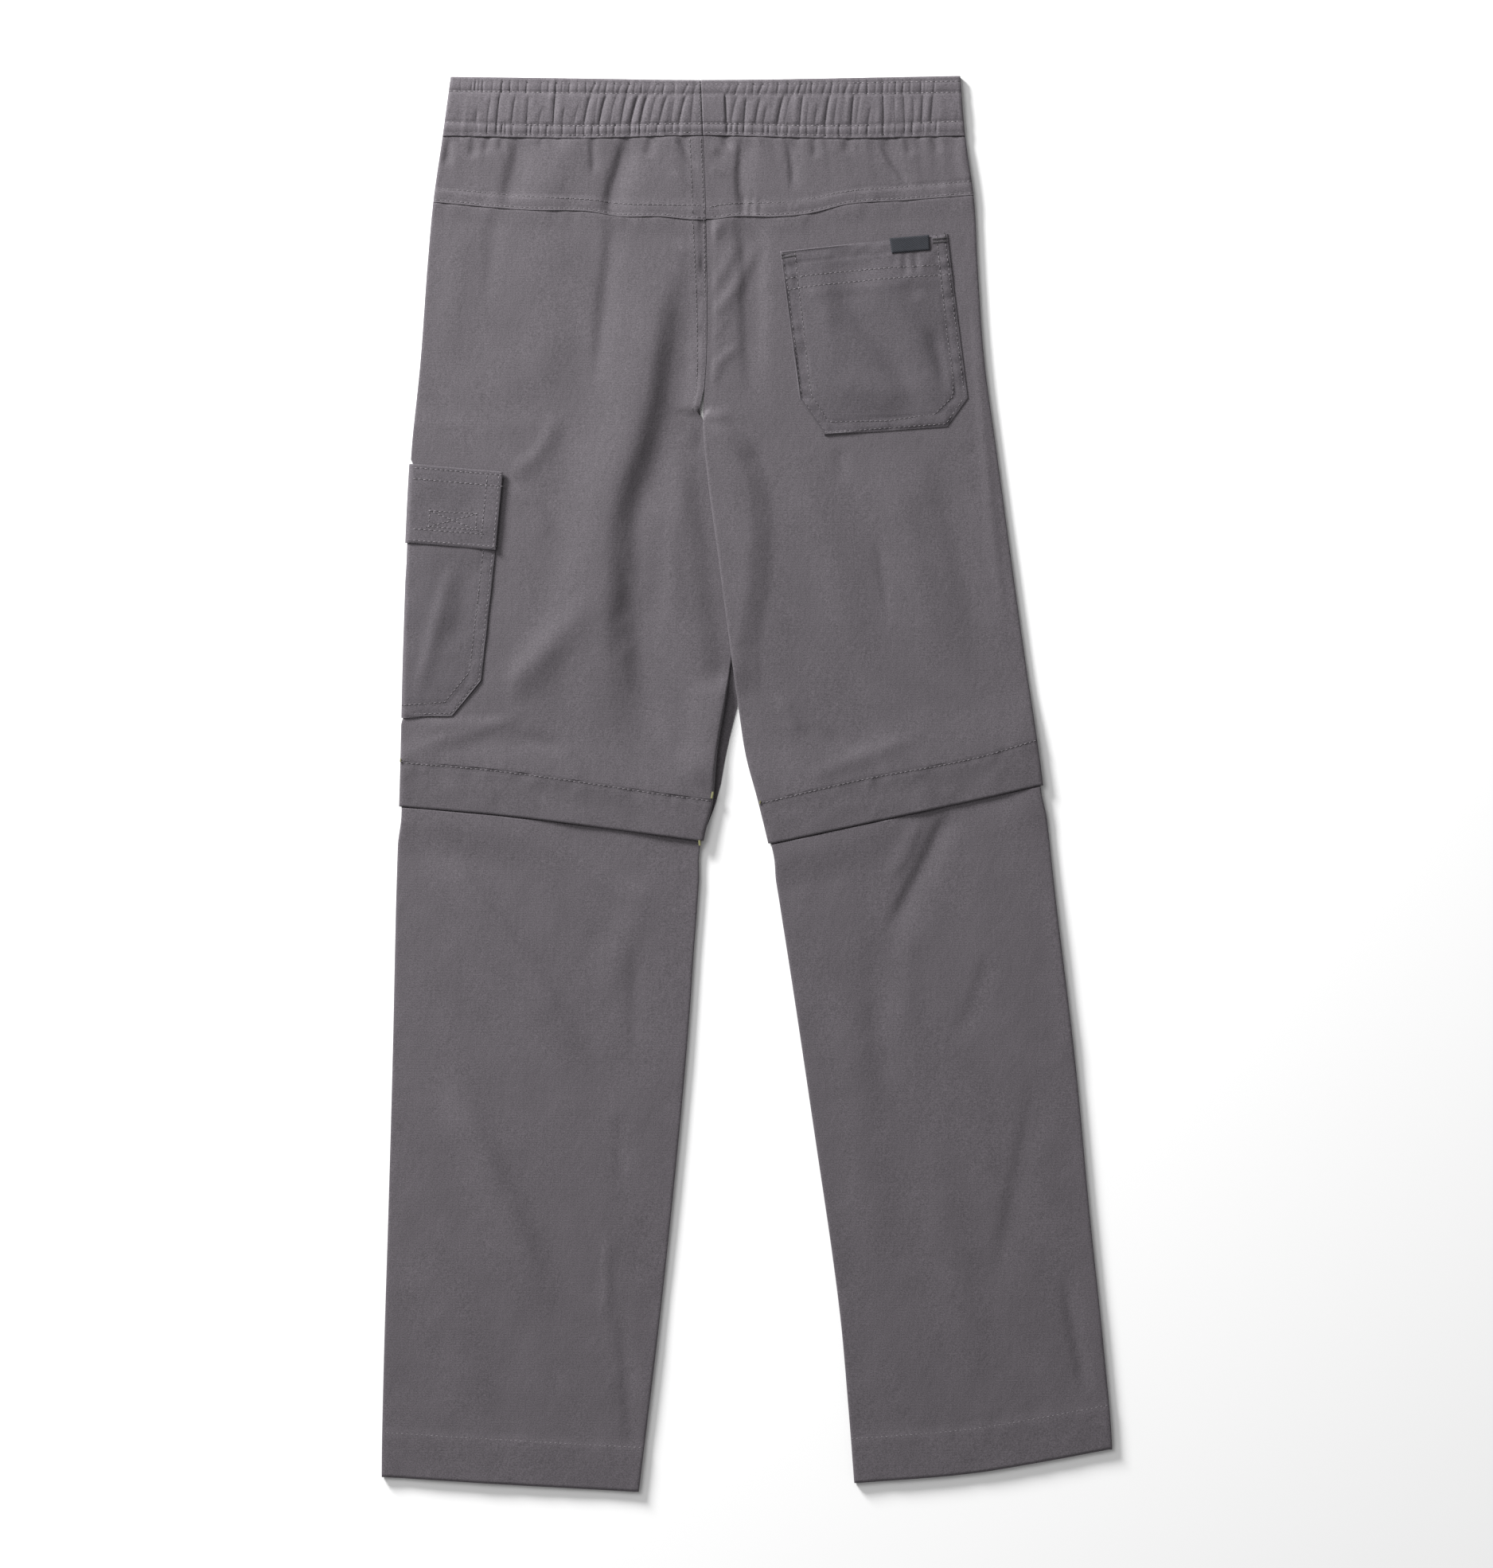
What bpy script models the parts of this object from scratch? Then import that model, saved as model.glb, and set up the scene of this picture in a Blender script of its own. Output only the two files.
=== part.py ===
"""Convertible zip-off trousers, laid flat on a surface with the back up.

Sizes are in millimetres and become metres when a mesh is made. X runs to the right over the
back, Y runs up to the waist and Z rises from the surface. The wearer's left leg has negative X.
Each leg is a flattened tube: a front sheet on the surface, and a back sheet above it whose long
edges curl round and meet the front sheet at the seams.
"""

import math
from collections import namedtuple

import bmesh
import bpy

# Cloth thickness, and the room that pieces keep at a seam
MM = 0.001
WALL = 1.0
FLAP_WALL = 1.5
GAP = 0.3
HALF_GAP = GAP / 2
LAYER = WALL + GAP
MOST_HOLLOW = 3.8

# Heights of the back sheet's outer face above the surface
SHEET_TOP = 4.2
YOKE_TOP = 4.3
YOKE_LIP = 0.5
WAIST_TOP = 5.0
WAIST_WALL = 2.2
WAIST_FRONT_WALL = 2.0
FLAP_TOP = 5.9
CARGO_TOP = 4.9
TUCKED_TOP = 2.3
HEM_STEP = 0.4
CROTCH_LIFT = TUCKED_TOP + GAP
FOLDED_TOP = 3.6

# Places along the legs
CROTCH_Y = 238.0
SEAM_END_Y = 262.0
CROSSING_Y = 78.0
PARTED_Y = 56.0
HEM_DEPTH = 30.0

Outline = namedtuple("Outline", "y left right")
Inside = namedtuple("Inside", "y x")
Seam = namedtuple("Seam", "x y")
Fold = namedtuple("Fold", "x0 y0 x1 y1 width height")
Gather = namedtuple("Gather", "share height")

# Outer edges of the garment from the waist to the hems
OUTLINE = (
    Outline(462.8, -193.7, 139.6),
    Outline(424.0, -199.0, 142.8),
    Outline(382.0, -205.0, 148.6),
    Outline(341.0, -208.8, 150.8),
    Outline(278.0, -213.2, 155.2),
    Outline(216.0, -218.4, 163.5),
    Outline(91.0, -224.2, 180.6),
    Outline(8.0, -226.8, 192.7),
    Outline(-75.0, -229.4, 202.0),
    Outline(-179.0, -231.7, 214.5),
    Outline(-283.0, -234.6, 224.4),
    Outline(-367.0, -237.2, 233.2),
    Outline(-434.0, -238.7, 238.9),
    Outline(-463.0, -238.9, 238.9),
)

# Inner edge of each leg: the seat seam down to the crotch, then the inside of the leg
LEFT_INSIDE = (
    Inside(463.0, -30.4), Inside(424.0, -28.8), Inside(369.0, -26.8), Inside(281.0, -26.4),
    Inside(261.0, -27.6), Inside(238.0, -28.9), Inside(229.0, -18.4), Inside(205.0, -4.4),
    Inside(174.0, 0.8), Inside(138.0, -0.3), Inside(107.0, -5.0), Inside(81.0, -10.1),
    Inside(54.0, -14.3), Inside(22.0, -19.5), Inside(-37.0, -28.6), Inside(-96.0, -33.5),
    Inside(-159.0, -38.0), Inside(-221.0, -43.4), Inside(-346.0, -56.4), Inside(-463.0, -70.5),
)
RIGHT_INSIDE = (
    Inside(463.0, -30.4), Inside(424.0, -28.8), Inside(369.0, -26.8), Inside(281.0, -26.4),
    Inside(261.0, -27.6), Inside(238.0, -28.9), Inside(204.0, -26.3), Inside(149.0, -19.0),
    Inside(81.0, -10.0), Inside(48.0, -4.6), Inside(19.0, 1.4), Inside(-12.0, 8.4),
    Inside(-54.0, 17.4), Inside(-96.0, 24.2), Inside(-221.0, 42.9), Inside(-346.0, 60.6),
    Inside(-408.0, 66.2), Inside(-457.0, 70.0),
)

# Seams that run across the garment
WAIST_EDGE = (Seam(-194, 462.3), Seam(-111, 461.2), Seam(-30, 460.2), Seam(139.6, 462.8))
WAIST_SEAM = (Seam(-199, 423.3), Seam(-111, 421.7), Seam(-30, 423.6), Seam(60, 421.6), Seam(143, 423.3))
YOKE_SEAM = (
    Seam(-205, 380.1), Seam(-142, 374.8), Seam(-106, 374.2), Seam(-81, 370.6), Seam(-58, 370.6),
    Seam(-28, 368.4), Seam(-5, 370.8), Seam(16, 370.4), Seam(41, 372.6), Seam(66, 378.6),
    Seam(104, 381.2), Seam(149, 384.8),
)
KNEE_SEAM = {
    "left": (Seam(-227, 15.1), Seam(-171, 10.4), Seam(-111, 2.6), Seam(-52, -6.2), Seam(-24, -9.9)),
    "right": (Seam(7.5, -12.0), Seam(74, 3.6), Seam(150, 18.2), Seam(191, 30.2)),
}
FLAP_EDGE = {
    "left": (Seam(-227, -14.6), Seam(-157, -20.8), Seam(-71, -31.7), Seam(-31, -37.2)),
    "right": (Seam(16, -39.0), Seam(81, -25.0), Seam(157, -8.8), Seam(193, -0.5)),
}
HEM = {
    "left": (Seam(-239, -452.9), Seam(-155, -458.1), Seam(-70.5, -462.8)),
    "right": (Seam(70, -457.1), Seam(146, -450.8), Seam(185, -444.6), Seam(239, -434.6)),
}

# Folds raised (height above 0) or sunk (below 0) in each back sheet
FOLDS = {
    "left": (
        Fold(-74, 318, -78, 262, 13, 1.2), Fold(-78, 262, -84, 215, 14, 1.4), Fold(-84, 215, -100, 165, 13, 1.0),
        Fold(-42, 300, -44, 250, 11, -1.1), Fold(-44, 250, -50, 200, 12, -1.4), Fold(-50, 200, -64, 155, 12, -0.9),
        Fold(-94, 130, -94, 62, 12, 0.8), Fold(-62, 128, -64, 60, 12, -0.8),
        Fold(-98, 412, -100, 330, 9, 0.7), Fold(-80, 405, -84, 372, 8, -0.8),
        Fold(-148, 418, -156, 386, 8, -0.7), Fold(-150, 198, -128, 218, 8, 0.8),
        Fold(-150, 190, -132, 158, 8, 0.7), Fold(-178, 56, -108, 109, 9, 0.9),
        Fold(-190, 30, -160, 40, 8, 0.6), Fold(-32, 6, -62, 44, 9, 0.8),
        Fold(-209, -40, -174, -77, 9, 0.8), Fold(-174, -77, -105, -185, 10, 0.9),
        Fold(-195, -191, -129, -344, 11, 0.8), Fold(-74, -112, -75, -171, 7, -0.8),
        Fold(-84, -223, -85, -261, 7, -0.8), Fold(-92, -300, -98, -440, 9, 0.8),
    ),
    "right": (
        Fold(-2, 419, -3, 385, 7, -0.8), Fold(-3, 365, 3, 280, 7, -0.9), Fold(-16, 268, -2, 282, 7, 0.6),
        Fold(-16, 312, 6, 343, 7, 0.6), Fold(28, 419, 28, 392, 7, -0.6), Fold(44, 415, 46, 390, 8, 0.5),
        Fold(38, 200, 62, 130, 14, 0.6), Fold(86, 214, 112, 90, 17, 1.4), Fold(126, 200, 146, 85, 14, -0.9),
        Fold(45, 3, 74, 22, 9, 0.6), Fold(58, 36, 78, 30, 8, -0.6), Fold(148, 200, 165, 90, 8, 0.5),
        Fold(127, -30, 110, -63, 8, -0.9), Fold(110, -63, 86, -98, 8, -0.8), Fold(80, -105, 89, -205, 8, -0.8),
        Fold(103, -101, 104, -162, 8, 0.8), Fold(158, -115, 138, -164, 7, -0.7),
        Fold(188, -191, 162, -327, 8, -0.8), Fold(205, -325, 219, -394, 8, -0.9),
    ),
}

# Back pocket: its side edges from the top to the bottom, and the share of the height at each row
BackPocketRow = namedtuple("BackPocketRow", "share xl yl xr yr")
BACK_POCKET = (
    BackPocketRow(0.00, 21.6, 347.9, 130.8, 359.8),
    BackPocketRow(0.26, 24.9, 325.0, 133.9, 334.0),
    BackPocketRow(0.80, 34.1, 251.7, 144.3, 252.2),
    BackPocketRow(1.00, 50.7, 227.8, 130.8, 233.5),
)
LABEL = (Seam(93.0, 356.4), Seam(119.0, 358.6), Seam(94.6, 346.6), Seam(119.4, 348.8))

# Cargo pocket and flap: right edge on the back, with the same reach on the front
CargoRow = namedtuple("CargoRow", "share y_side x_end y_end")
CARGO_POCKET = (
    CargoRow(0.00, 201.0, -161.5, 196.0),
    CargoRow(0.30, 157.6, -164.5, 150.0),
    CargoRow(0.55, 118.0, -168.2, 115.0),
    CargoRow(0.84, 66.0, -173.4, 67.6),
    CargoRow(1.00, 43.2, -192.1, 44.7),
)
CARGO_FLAP = (
    CargoRow(0.00, 209.0, -159.4, 203.8),
    CargoRow(1.00, 157.6, -164.1, 152.9),
)
CARGO_ROW_ROOM = 22.0
CARGO_LOW_ROOM = 11.0

# Places of the rows across each sheet, as heights at the inner edge of the leg
UPPER_LEVELS = (352, 332, 312, 292, 276, 262, 256, 250, 244, 238, 229, 218, 203, 185, 165, 145, 125,
                105, 90, 78, 67, 56, 40, 24, 8)
FRONT_EXTRA_LEVELS = (400, 376)
YOKE_SHARES = (0.0, 0.3, 0.65, 0.88, 1.0)
LOWER_SHARES = (0.0, 0.014, 0.03, 0.046, 0.075, 0.13, 0.19, 0.25, 0.31, 0.37, 0.43, 0.49, 0.55, 0.61, 0.67,
                0.73, 0.79, 0.85, 0.912, 0.928, 1.0)
FLAP_SHARES = (0.0, 0.3, 0.65, 0.9, 1.0)

# Columns across each sheet
CURL_STEPS = 3
UPPER_COLUMNS = 13
TUCKED_COLUMNS = 2
LOWER_COLUMNS = 13
GATHERS = 20
WAIST_ROWS = (Gather(0.0, 0.25), Gather(0.12, 0.35), Gather(0.28, 0.15), Gather(0.5, 0.75),
              Gather(0.78, 0.15), Gather(0.9, 0.4), Gather(1.0, 0.3))

# Finish of the cloth
GREY = (0.176, 0.162, 0.174)
GREY_DEEP = (0.138, 0.127, 0.138)
SLATE = (0.040, 0.043, 0.054)
ZIP_GREY = (0.10, 0.10, 0.11)
METAL = (0.35, 0.35, 0.36)


def smooth(share):
    """0 to 1 with soft ends."""
    share = min(max(share, 0.0), 1.0)
    return share * share * (3 - 2 * share)


def ramp(value, start, end):
    """Rises softly from 0 at start to 1 at end."""
    return smooth((value - start) / (end - start))


def window(value, low, high, soft):
    """1 between low and high, falling softly to 0 outside."""
    return ramp(value, low - soft, low) * (1 - ramp(value, high, high + soft))


def mix(first, second, share):
    return first + (second - first) * share


def curve(rows):
    """A smooth function through (place, value) rows, straight beyond its ends."""
    rows = sorted(rows)
    places = [row[0] for row in rows]
    values = [row[1] for row in rows]
    steps = [(values[i + 1] - values[i]) / (places[i + 1] - places[i]) for i in range(len(rows) - 1)]
    slopes = [steps[0]] + [(a + b) / 2 for a, b in zip(steps, steps[1:])] + [steps[-1]]

    def value_at(place):
        if place <= places[0]:
            return values[0] + (place - places[0]) * slopes[0]
        if place >= places[-1]:
            return values[-1] + (place - places[-1]) * slopes[-1]
        i = max(k for k in range(len(places) - 1) if places[k] <= place)
        span = places[i + 1] - places[i]
        t = (place - places[i]) / span
        return (
            values[i] * (1 + 2 * t) * (1 - t) ** 2
            + slopes[i] * span * t * (1 - t) ** 2
            + values[i + 1] * t * t * (3 - 2 * t)
            + slopes[i + 1] * span * t * t * (t - 1)
        )

    return value_at


def polyline(rows):
    """A function through (place, value) rows with straight runs between them."""

    def value_at(place):
        for (p0, v0), (p1, v1) in zip(rows, rows[1:]):
            if place <= p1:
                return mix(v0, v1, (place - p0) / (p1 - p0))
        return rows[-1][1]

    return value_at


outer_left = curve([(row.y, row.left) for row in OUTLINE])
outer_right = curve([(row.y, row.right) for row in OUTLINE])
left_inside = curve(LEFT_INSIDE)
right_inside = curve(RIGHT_INSIDE)
waist_edge = curve(WAIST_EDGE)
waist_seam = curve(WAIST_SEAM)
yoke_seam = curve(YOKE_SEAM)
knee_seam = {side: curve(rows) for side, rows in KNEE_SEAM.items()}
flap_edge = {side: curve(rows) for side, rows in FLAP_EDGE.items()}
hem = {side: curve(rows) for side, rows in HEM.items()}


def edges(side, y):
    """Left and right edge of a leg's tube, seen from above."""
    if side == "left":
        return outer_left(y), left_inside(y) - HALF_GAP
    return right_inside(y) + HALF_GAP, outer_right(y)


def inner_curl(y):
    """0 where the back sheet ends at the seat seam, 1 where it curls round the inside of the leg."""
    return 1 - ramp(y, CROTCH_Y, SEAM_END_Y)


def tuck_line(y):
    """Where the left leg goes in under the right one, at the seat the line beside the seam."""
    return min(left_inside(y), right_inside(y)) - 4.0 - 6.0 * (1 - inner_curl(y))


def lift_line(y):
    """How far right the right leg is lifted by the left one."""
    return max(left_inside(y) + 2.0, right_inside(y) + FOLDED_TOP / 2 + GAP + 3.0)


def crotch_lift(x, y):
    """Height of the right leg's underside where it lies on the left leg."""
    along = (1 - ramp(y, CROTCH_Y + 2, SEAM_END_Y)) * ramp(y, PARTED_Y, CROSSING_Y)
    across = 1 - min(max((x - lift_line(y)) / 14.0, 0.0), 1.0)
    return CROTCH_LIFT * along * across


def tucked_top(y):
    """Height of the left leg's back sheet at its inner edge."""
    tucked = (1 - ramp(y, CROTCH_Y + 2, SEAM_END_Y)) * ramp(y, PARTED_Y - 12, CROSSING_Y)
    return mix(SHEET_TOP - 0.4, TUCKED_TOP, tucked)


def cargo_levels(y):
    """Layers of pocket and flap that wrap the side of the left leg at this height."""
    pocket = window(y, CARGO_POCKET[-1].y_side - CARGO_LOW_ROOM, CARGO_POCKET[0].y_side + CARGO_ROW_ROOM, 16)
    flap = window(y, CARGO_FLAP[-1].y_end - CARGO_ROW_ROOM, CARGO_FLAP[0].y_side + CARGO_ROW_ROOM, 20)
    return pocket + flap


def cargo_cover(x, y):
    """1 where the cargo pocket lies on the left thigh, 0 well away from it."""
    across = 1 - ramp(x, -143.0, -118.0)
    return across * min(cargo_levels(y), 1.0)


def pocket_calm(x, y):
    """0 under the back pocket, 1 well away from it."""
    return 1 - window(x, 6.0, 150.0, 20) * window(y, 214.0, 372.0, 18)


def relief(side, x, y):
    """Height of the folds at a place."""
    rise, dip = 0.0, 0.0
    for fold in FOLDS[side]:
        run = (fold.x1 - fold.x0, fold.y1 - fold.y0)
        along = ((x - fold.x0) * run[0] + (y - fold.y0) * run[1]) / (run[0] ** 2 + run[1] ** 2)
        along = min(max(along, 0.0), 1.0)
        away = math.hypot(x - fold.x0 - run[0] * along, y - fold.y0 - run[1] * along)
        height = fold.height * math.exp(-((away / fold.width) ** 2))
        rise, dip = max(rise, height), min(dip, height)
    left, right = edges(side, y)
    calm = ramp(x, left + 2, left + 18) * (1 - ramp(x, right - 16, right - 4))
    return (rise + dip) * calm


def upper_under(side, x, y):
    """Height of the thigh's underside."""
    if side == "left":
        return LAYER * cargo_levels(y) * (1 - ramp(x, -143.0, -118.0))
    return crotch_lift(x, y)


def upper_top(side, x, y):
    """Height of the thigh's outer face."""
    above_knee = y - knee_seam[side](x)
    top = mix(FLAP_TOP, SHEET_TOP, ramp(above_knee, 0, 40))
    folds = relief(side, x, y) * ramp(above_knee, 4, 30)
    if side == "left":
        top = mix(top + folds * (1 - cargo_cover(x, y)), CARGO_TOP, cargo_cover(x, y))
        line = tuck_line(y)
        sunk = ramp(above_knee, 20, 60)
        return mix(top, tucked_top(y), ramp(x, line - 16, line) * sunk)
    inner = mix(SHEET_TOP, FOLDED_TOP, inner_curl(y) * ramp(above_knee, 20, 60))
    edge_share = 1 - ramp(x, right_inside(y), right_inside(y) + 20)
    top = mix(top, inner, edge_share * ramp(above_knee, 20, 60))
    return top + folds * pocket_calm(x, y) + crotch_lift(x, y)


def yoke_top(side, x, y):
    """Height of the yoke's outer face, with a lip over the seam below it."""
    share = (waist_seam(x) - y) / (waist_seam(x) - yoke_seam(x))
    return YOKE_TOP + YOKE_LIP * ramp(share, 0.8, 0.98) + relief(side, x, y) * 0.9


def lower_drop(side, x, y):
    """How far a place lies below the knee seam."""
    return knee_seam[side](x) - y


def lower_under(side, x, y):
    """Height of the lower leg's underside, which rises over the front storm flap."""
    return (FLAP_WALL + GAP) * (1 - ramp(lower_drop(side, x, y), 36, 56))


def lower_top(side, x, y):
    """Height of the lower leg's outer face, with the doubled hem."""
    below = lower_drop(side, x, y)
    top = mix(2 * (FLAP_WALL + GAP) + WALL / 2, SHEET_TOP, ramp(below, 36, 56))
    hem_share = 1 - ramp(y - hem[side](x), HEM_DEPTH - 1.5, HEM_DEPTH + 1.5)
    return top + relief(side, x, y) * ramp(below, 34, 60) * (1 - hem_share) + HEM_STEP * hem_share


def flap_top(side, x, y):
    return FLAP_TOP


def flat_under(side, x, y):
    return 0.0


def no_inset(side, y):
    return 0.0, 0.0


def upper_inset(side, y):
    """How far the thigh's edges draw in, the left one under the pocket that wraps it."""
    return (LAYER * cargo_levels(y), 0.0) if side == "left" else (0.0, 0.0)


def lower_inset(side, y):
    """How far the lower leg's edges draw in under the storm flap."""
    return [lower_under(side, x, y) for x in edges(side, y)]


def reach(curl, radius):
    """How far a curled edge stands out beside the line where its curl starts."""
    if curl < 0.01:
        return math.pi * radius
    if curl < 0.5:
        return math.sin(math.pi * curl) * radius / curl
    return radius / curl


def curl_point(curl, radius, wall, step):
    """Place beside and below the start of the curl, for its outer and its inner face."""
    length = math.pi * radius * step / CURL_STEPS
    if curl < 0.01:
        return (length, 0.0), (length, -wall)
    bend = curl / radius
    angle = length * bend
    drop = (1 - math.cos(math.pi * curl)) / bend
    squeeze = min(1.0, 2 * radius / drop)
    out = (math.sin(angle) / bend, -(1 - math.cos(angle)) / bend * squeeze)
    return out, (out[0] - wall * math.sin(angle), out[1] - wall * math.cos(angle))


def make_sheet(name, columns, rows, point, colour, roughness=0.8, metallic=0.0):
    """A closed piece of cloth from a grid whose two faces are placed by point(column, row)."""
    mesh = bpy.data.meshes.new(name)
    bm = bmesh.new()
    bmesh.ops.create_grid(bm, x_segments=columns, y_segments=rows, size=1.0)
    lower = {}
    for vert in bm.verts:
        place = (round((vert.co.x + 1) / 2 * columns), round((1 - vert.co.y) / 2 * rows))
        lower[vert] = place
    bottom = list(bm.faces)
    made = bmesh.ops.duplicate(bm, geom=list(bm.verts) + list(bm.edges) + bottom)
    upper = {made["vert_map"][vert]: place for vert, place in lower.items()}
    rim = [edge for edge in bm.edges if len(edge.link_faces) == 1]
    pairs = {place: vert for vert, place in upper.items()}
    for edge in [edge for edge in rim if edge.verts[0] in lower]:
        first, second = edge.verts
        bm.faces.new((second, first, pairs[lower[first]], pairs[lower[second]]))
    for table, face in ((lower, 1), (upper, 0)):
        for vert, (column, row) in table.items():
            vert.co = [value * MM for value in point(column, row)[face]]
    bmesh.ops.recalc_face_normals(bm, faces=bm.faces)
    bmesh.ops.triangulate(bm, faces=bm.faces)
    if bm.calc_volume(signed=True) < 0:
        bmesh.ops.reverse_faces(bm, faces=bm.faces)
    bm.to_mesh(mesh)
    bm.free()
    mesh.shade_smooth()
    mesh.set_sharp_from_angle(angle=math.radians(40))
    piece = bpy.data.objects.new(name, mesh)
    parts.objects.link(piece)
    material = bpy.data.materials.new(name + "_cloth")
    material.use_nodes = True
    shader = material.node_tree.nodes["Principled BSDF"]
    shader.inputs["Base Color"].default_value = (*colour, 1.0)
    shader.inputs["Roughness"].default_value = roughness
    shader.inputs["Metallic"].default_value = metallic
    mesh.materials.append(material)
    return piece


def spread(knots, counts):
    """Places from knot to knot, with a number of equal steps in each stretch."""
    places = [knots[0]]
    for start, end, count in zip(knots, knots[1:], counts):
        places += [mix(start, end, (k + 1) / count) for k in range(count)]
    return places


def settle(x_of, y_of, y):
    """The place where a column and a row cross, when each leans on the other."""
    for _ in range(6):
        x = x_of(y)
        y = y_of(x)
    return x, y


Tube = namedtuple("Tube", "side under top inset curls wall")


def tube_edges(tube, y):
    """Edges of a tube, its curls and their radii at a height."""
    left, right = edges(tube.side, y)
    draw_left, draw_right = tube.inset(tube.side, y)
    left, right = left + draw_left, right - draw_right
    curls = tube.curls(y)
    radii = []
    for x, inward in ((left, 1), (right, -1)):
        place = x + inward * 2.5
        thick = tube.top(tube.side, place, y) - tube.under(tube.side, place, y)
        radii.append(thick / 2)
    return left, right, curls, radii


def back_sheet(name, tube, counts, knots, row_line, rows, colour):
    """The upper sheet of a tube, whose edges curl down to the front sheet."""
    flat = sum(counts)
    total = flat + 2 * CURL_STEPS

    def place_at(column, row):
        def section(y):
            left, right, curls, radii = tube_edges(tube, y)
            start = left + reach(curls[0], radii[0])
            end = right - reach(curls[1], radii[1])
            stops = spread([start] + knots(y) + [end], counts)
            index = min(max(column - CURL_STEPS, 0), flat)
            return stops[index], left, right, curls, radii, start, end

        x, y = settle(lambda y: section(y)[0], lambda x: row_line(x, row), row_line(0.0, row))
        x, left, right, curls, radii, start, end = section(y)
        if column < CURL_STEPS or column > CURL_STEPS + flat:
            at = 0 if column < CURL_STEPS else 1
            step = CURL_STEPS - column if at == 0 else column - CURL_STEPS - flat
            base, inward = (start, -1) if at == 0 else (end, 1)
            near = (left, right)[at] - inward * 2.5
            top = tube.under(tube.side, near, y) + 2 * radii[at]
            out, inner = curl_point(curls[at], radii[at], tube.wall, step)
            return ((base + inward * out[0], y, top + out[1]), (base + inward * inner[0], y, top + inner[1]))
        if column in (CURL_STEPS, CURL_STEPS + flat):
            at = 0 if column == CURL_STEPS else 1
            near = (left + 2.5, right - 2.5)[at]
            top = tube.under(tube.side, near, y) + 2 * radii[at]
            return (x, y, top), (x, y, top - tube.wall)
        top = tube.top(tube.side, x, y)
        ceiling = tube.under(tube.side, x, y) + WALL + MOST_HOLLOW
        return (x, y, top), (x, y, min(top - tube.wall, ceiling))

    return make_sheet(name, total, rows, place_at, colour)


def front_sheet(name, tube, knots, counts, row_line, rows, wall, colour):
    """The lower sheet of a tube, flat on the surface."""
    def place_at(column, row):
        def section(y):
            left, right, curls, radii = tube_edges(tube, y)
            start = left + mix(0.0, radii[0] + GAP, min(1.0, 3 * curls[0]))
            end = right - mix(0.0, radii[1] + GAP, min(1.0, 3 * curls[1]))
            return spread([start] + knots(y) + [end], counts)[column]

        x, y = settle(section, lambda x: row_line(x, row), row_line(0.0, row))
        under = tube.under(tube.side, x, y)
        return (x, y, under + wall), (x, y, under)

    return make_sheet(name, sum(counts), rows, place_at, colour)


def between(first, second, shares):
    """Rows at shares of the way between two lines across the garment."""
    return lambda x, row: mix(first(x), second(x), shares[row])


def level_shares(levels, top, bottom, inside):
    """Shares that put rows at the given heights along the inner edge."""
    first, last = top(inside(levels[0])), bottom(inside(levels[-1]))
    return [0.0] + [(first - y) / (first - last) for y in levels] + [1.0]


def both_curl(y):
    return (1.0, 1.0)


def seat_curl(side):
    """Outer edge always curled, inner edge from the crotch down."""
    if side == "left":
        return lambda y: (1.0, inner_curl(y))
    return lambda y: (inner_curl(y), 1.0)


def shifted(line, amount):
    return lambda x: line(x) + amount


def side_knots(side):
    """Columns that follow the line where one leg goes under the other."""
    if side == "left":
        return lambda y: [tuck_line(y)]
    return lambda y: [lift_line(y) + 4.0]


def side_counts(side, columns):
    counts = [columns, TUCKED_COLUMNS]
    return counts if side == "left" else counts[::-1]


def build_waistband():
    """Two gathered halves over the back and one plain band in front."""
    heights = [row.height for row in WAIST_ROWS]
    shares = [row.share for row in WAIST_ROWS]
    for side in ("left", "right"):
        def top(side, x, y):
            return WAIST_TOP

        curls = (lambda y: (1.0, 0.0)) if side == "left" else (lambda y: (0.0, 1.0))
        tube = Tube(side, flat_under, top, no_inset, curls, WAIST_WALL)
        columns = 2 * GATHERS
        total = columns + CURL_STEPS
        sign = 1 if side == "left" else -1

        def place_at(column, row, tube=tube, sign=sign):
            def section(y):
                left, right = edges(tube.side, y)
                radius = WAIST_TOP / 2
                outer, inner = (left, right) if sign == 1 else (right, left)
                start = outer + sign * radius
                share = max(column - CURL_STEPS, 0) / columns
                return mix(start, inner, share), start, radius

            line = between(shifted(waist_edge, 0.0), shifted(waist_seam, HALF_GAP), shares)
            x, y = settle(lambda y: section(y)[0], lambda x: line(x, row), line(0.0, row))
            x, start, radius = section(y)
            if column < CURL_STEPS:
                out, inner = curl_point(1.0, radius, WAIST_WALL, CURL_STEPS - column)
                return (
                    (start - sign * out[0], y, WAIST_TOP + out[1]),
                    (start - sign * inner[0], y, WAIST_TOP + inner[1]),
                )
            fold = (column - CURL_STEPS) % 2
            fade = min((column - CURL_STEPS) / 4, 1.0)
            return (x, y, WAIST_TOP + heights[row] * fold * fade), (x, y, WAIST_TOP - WAIST_WALL)

        make_sheet("waistband_back_" + side, total, len(shares) - 1, place_at, GREY)

    def band_front(column, row):
        line = between(waist_edge, shifted(waist_seam, HALF_GAP), (0.0, 0.5, 1.0))
        inset = WAIST_TOP / 2 + GAP
        places = lambda y: mix(outer_left(y) + inset, outer_right(y) - inset, column / 12)
        x, y = settle(places, lambda x: line(x, row), line(0.0, row))
        return (x, y, WAIST_FRONT_WALL), (x, y, 0.0)

    make_sheet("waistband_front", 12, 2, band_front, GREY)


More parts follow.
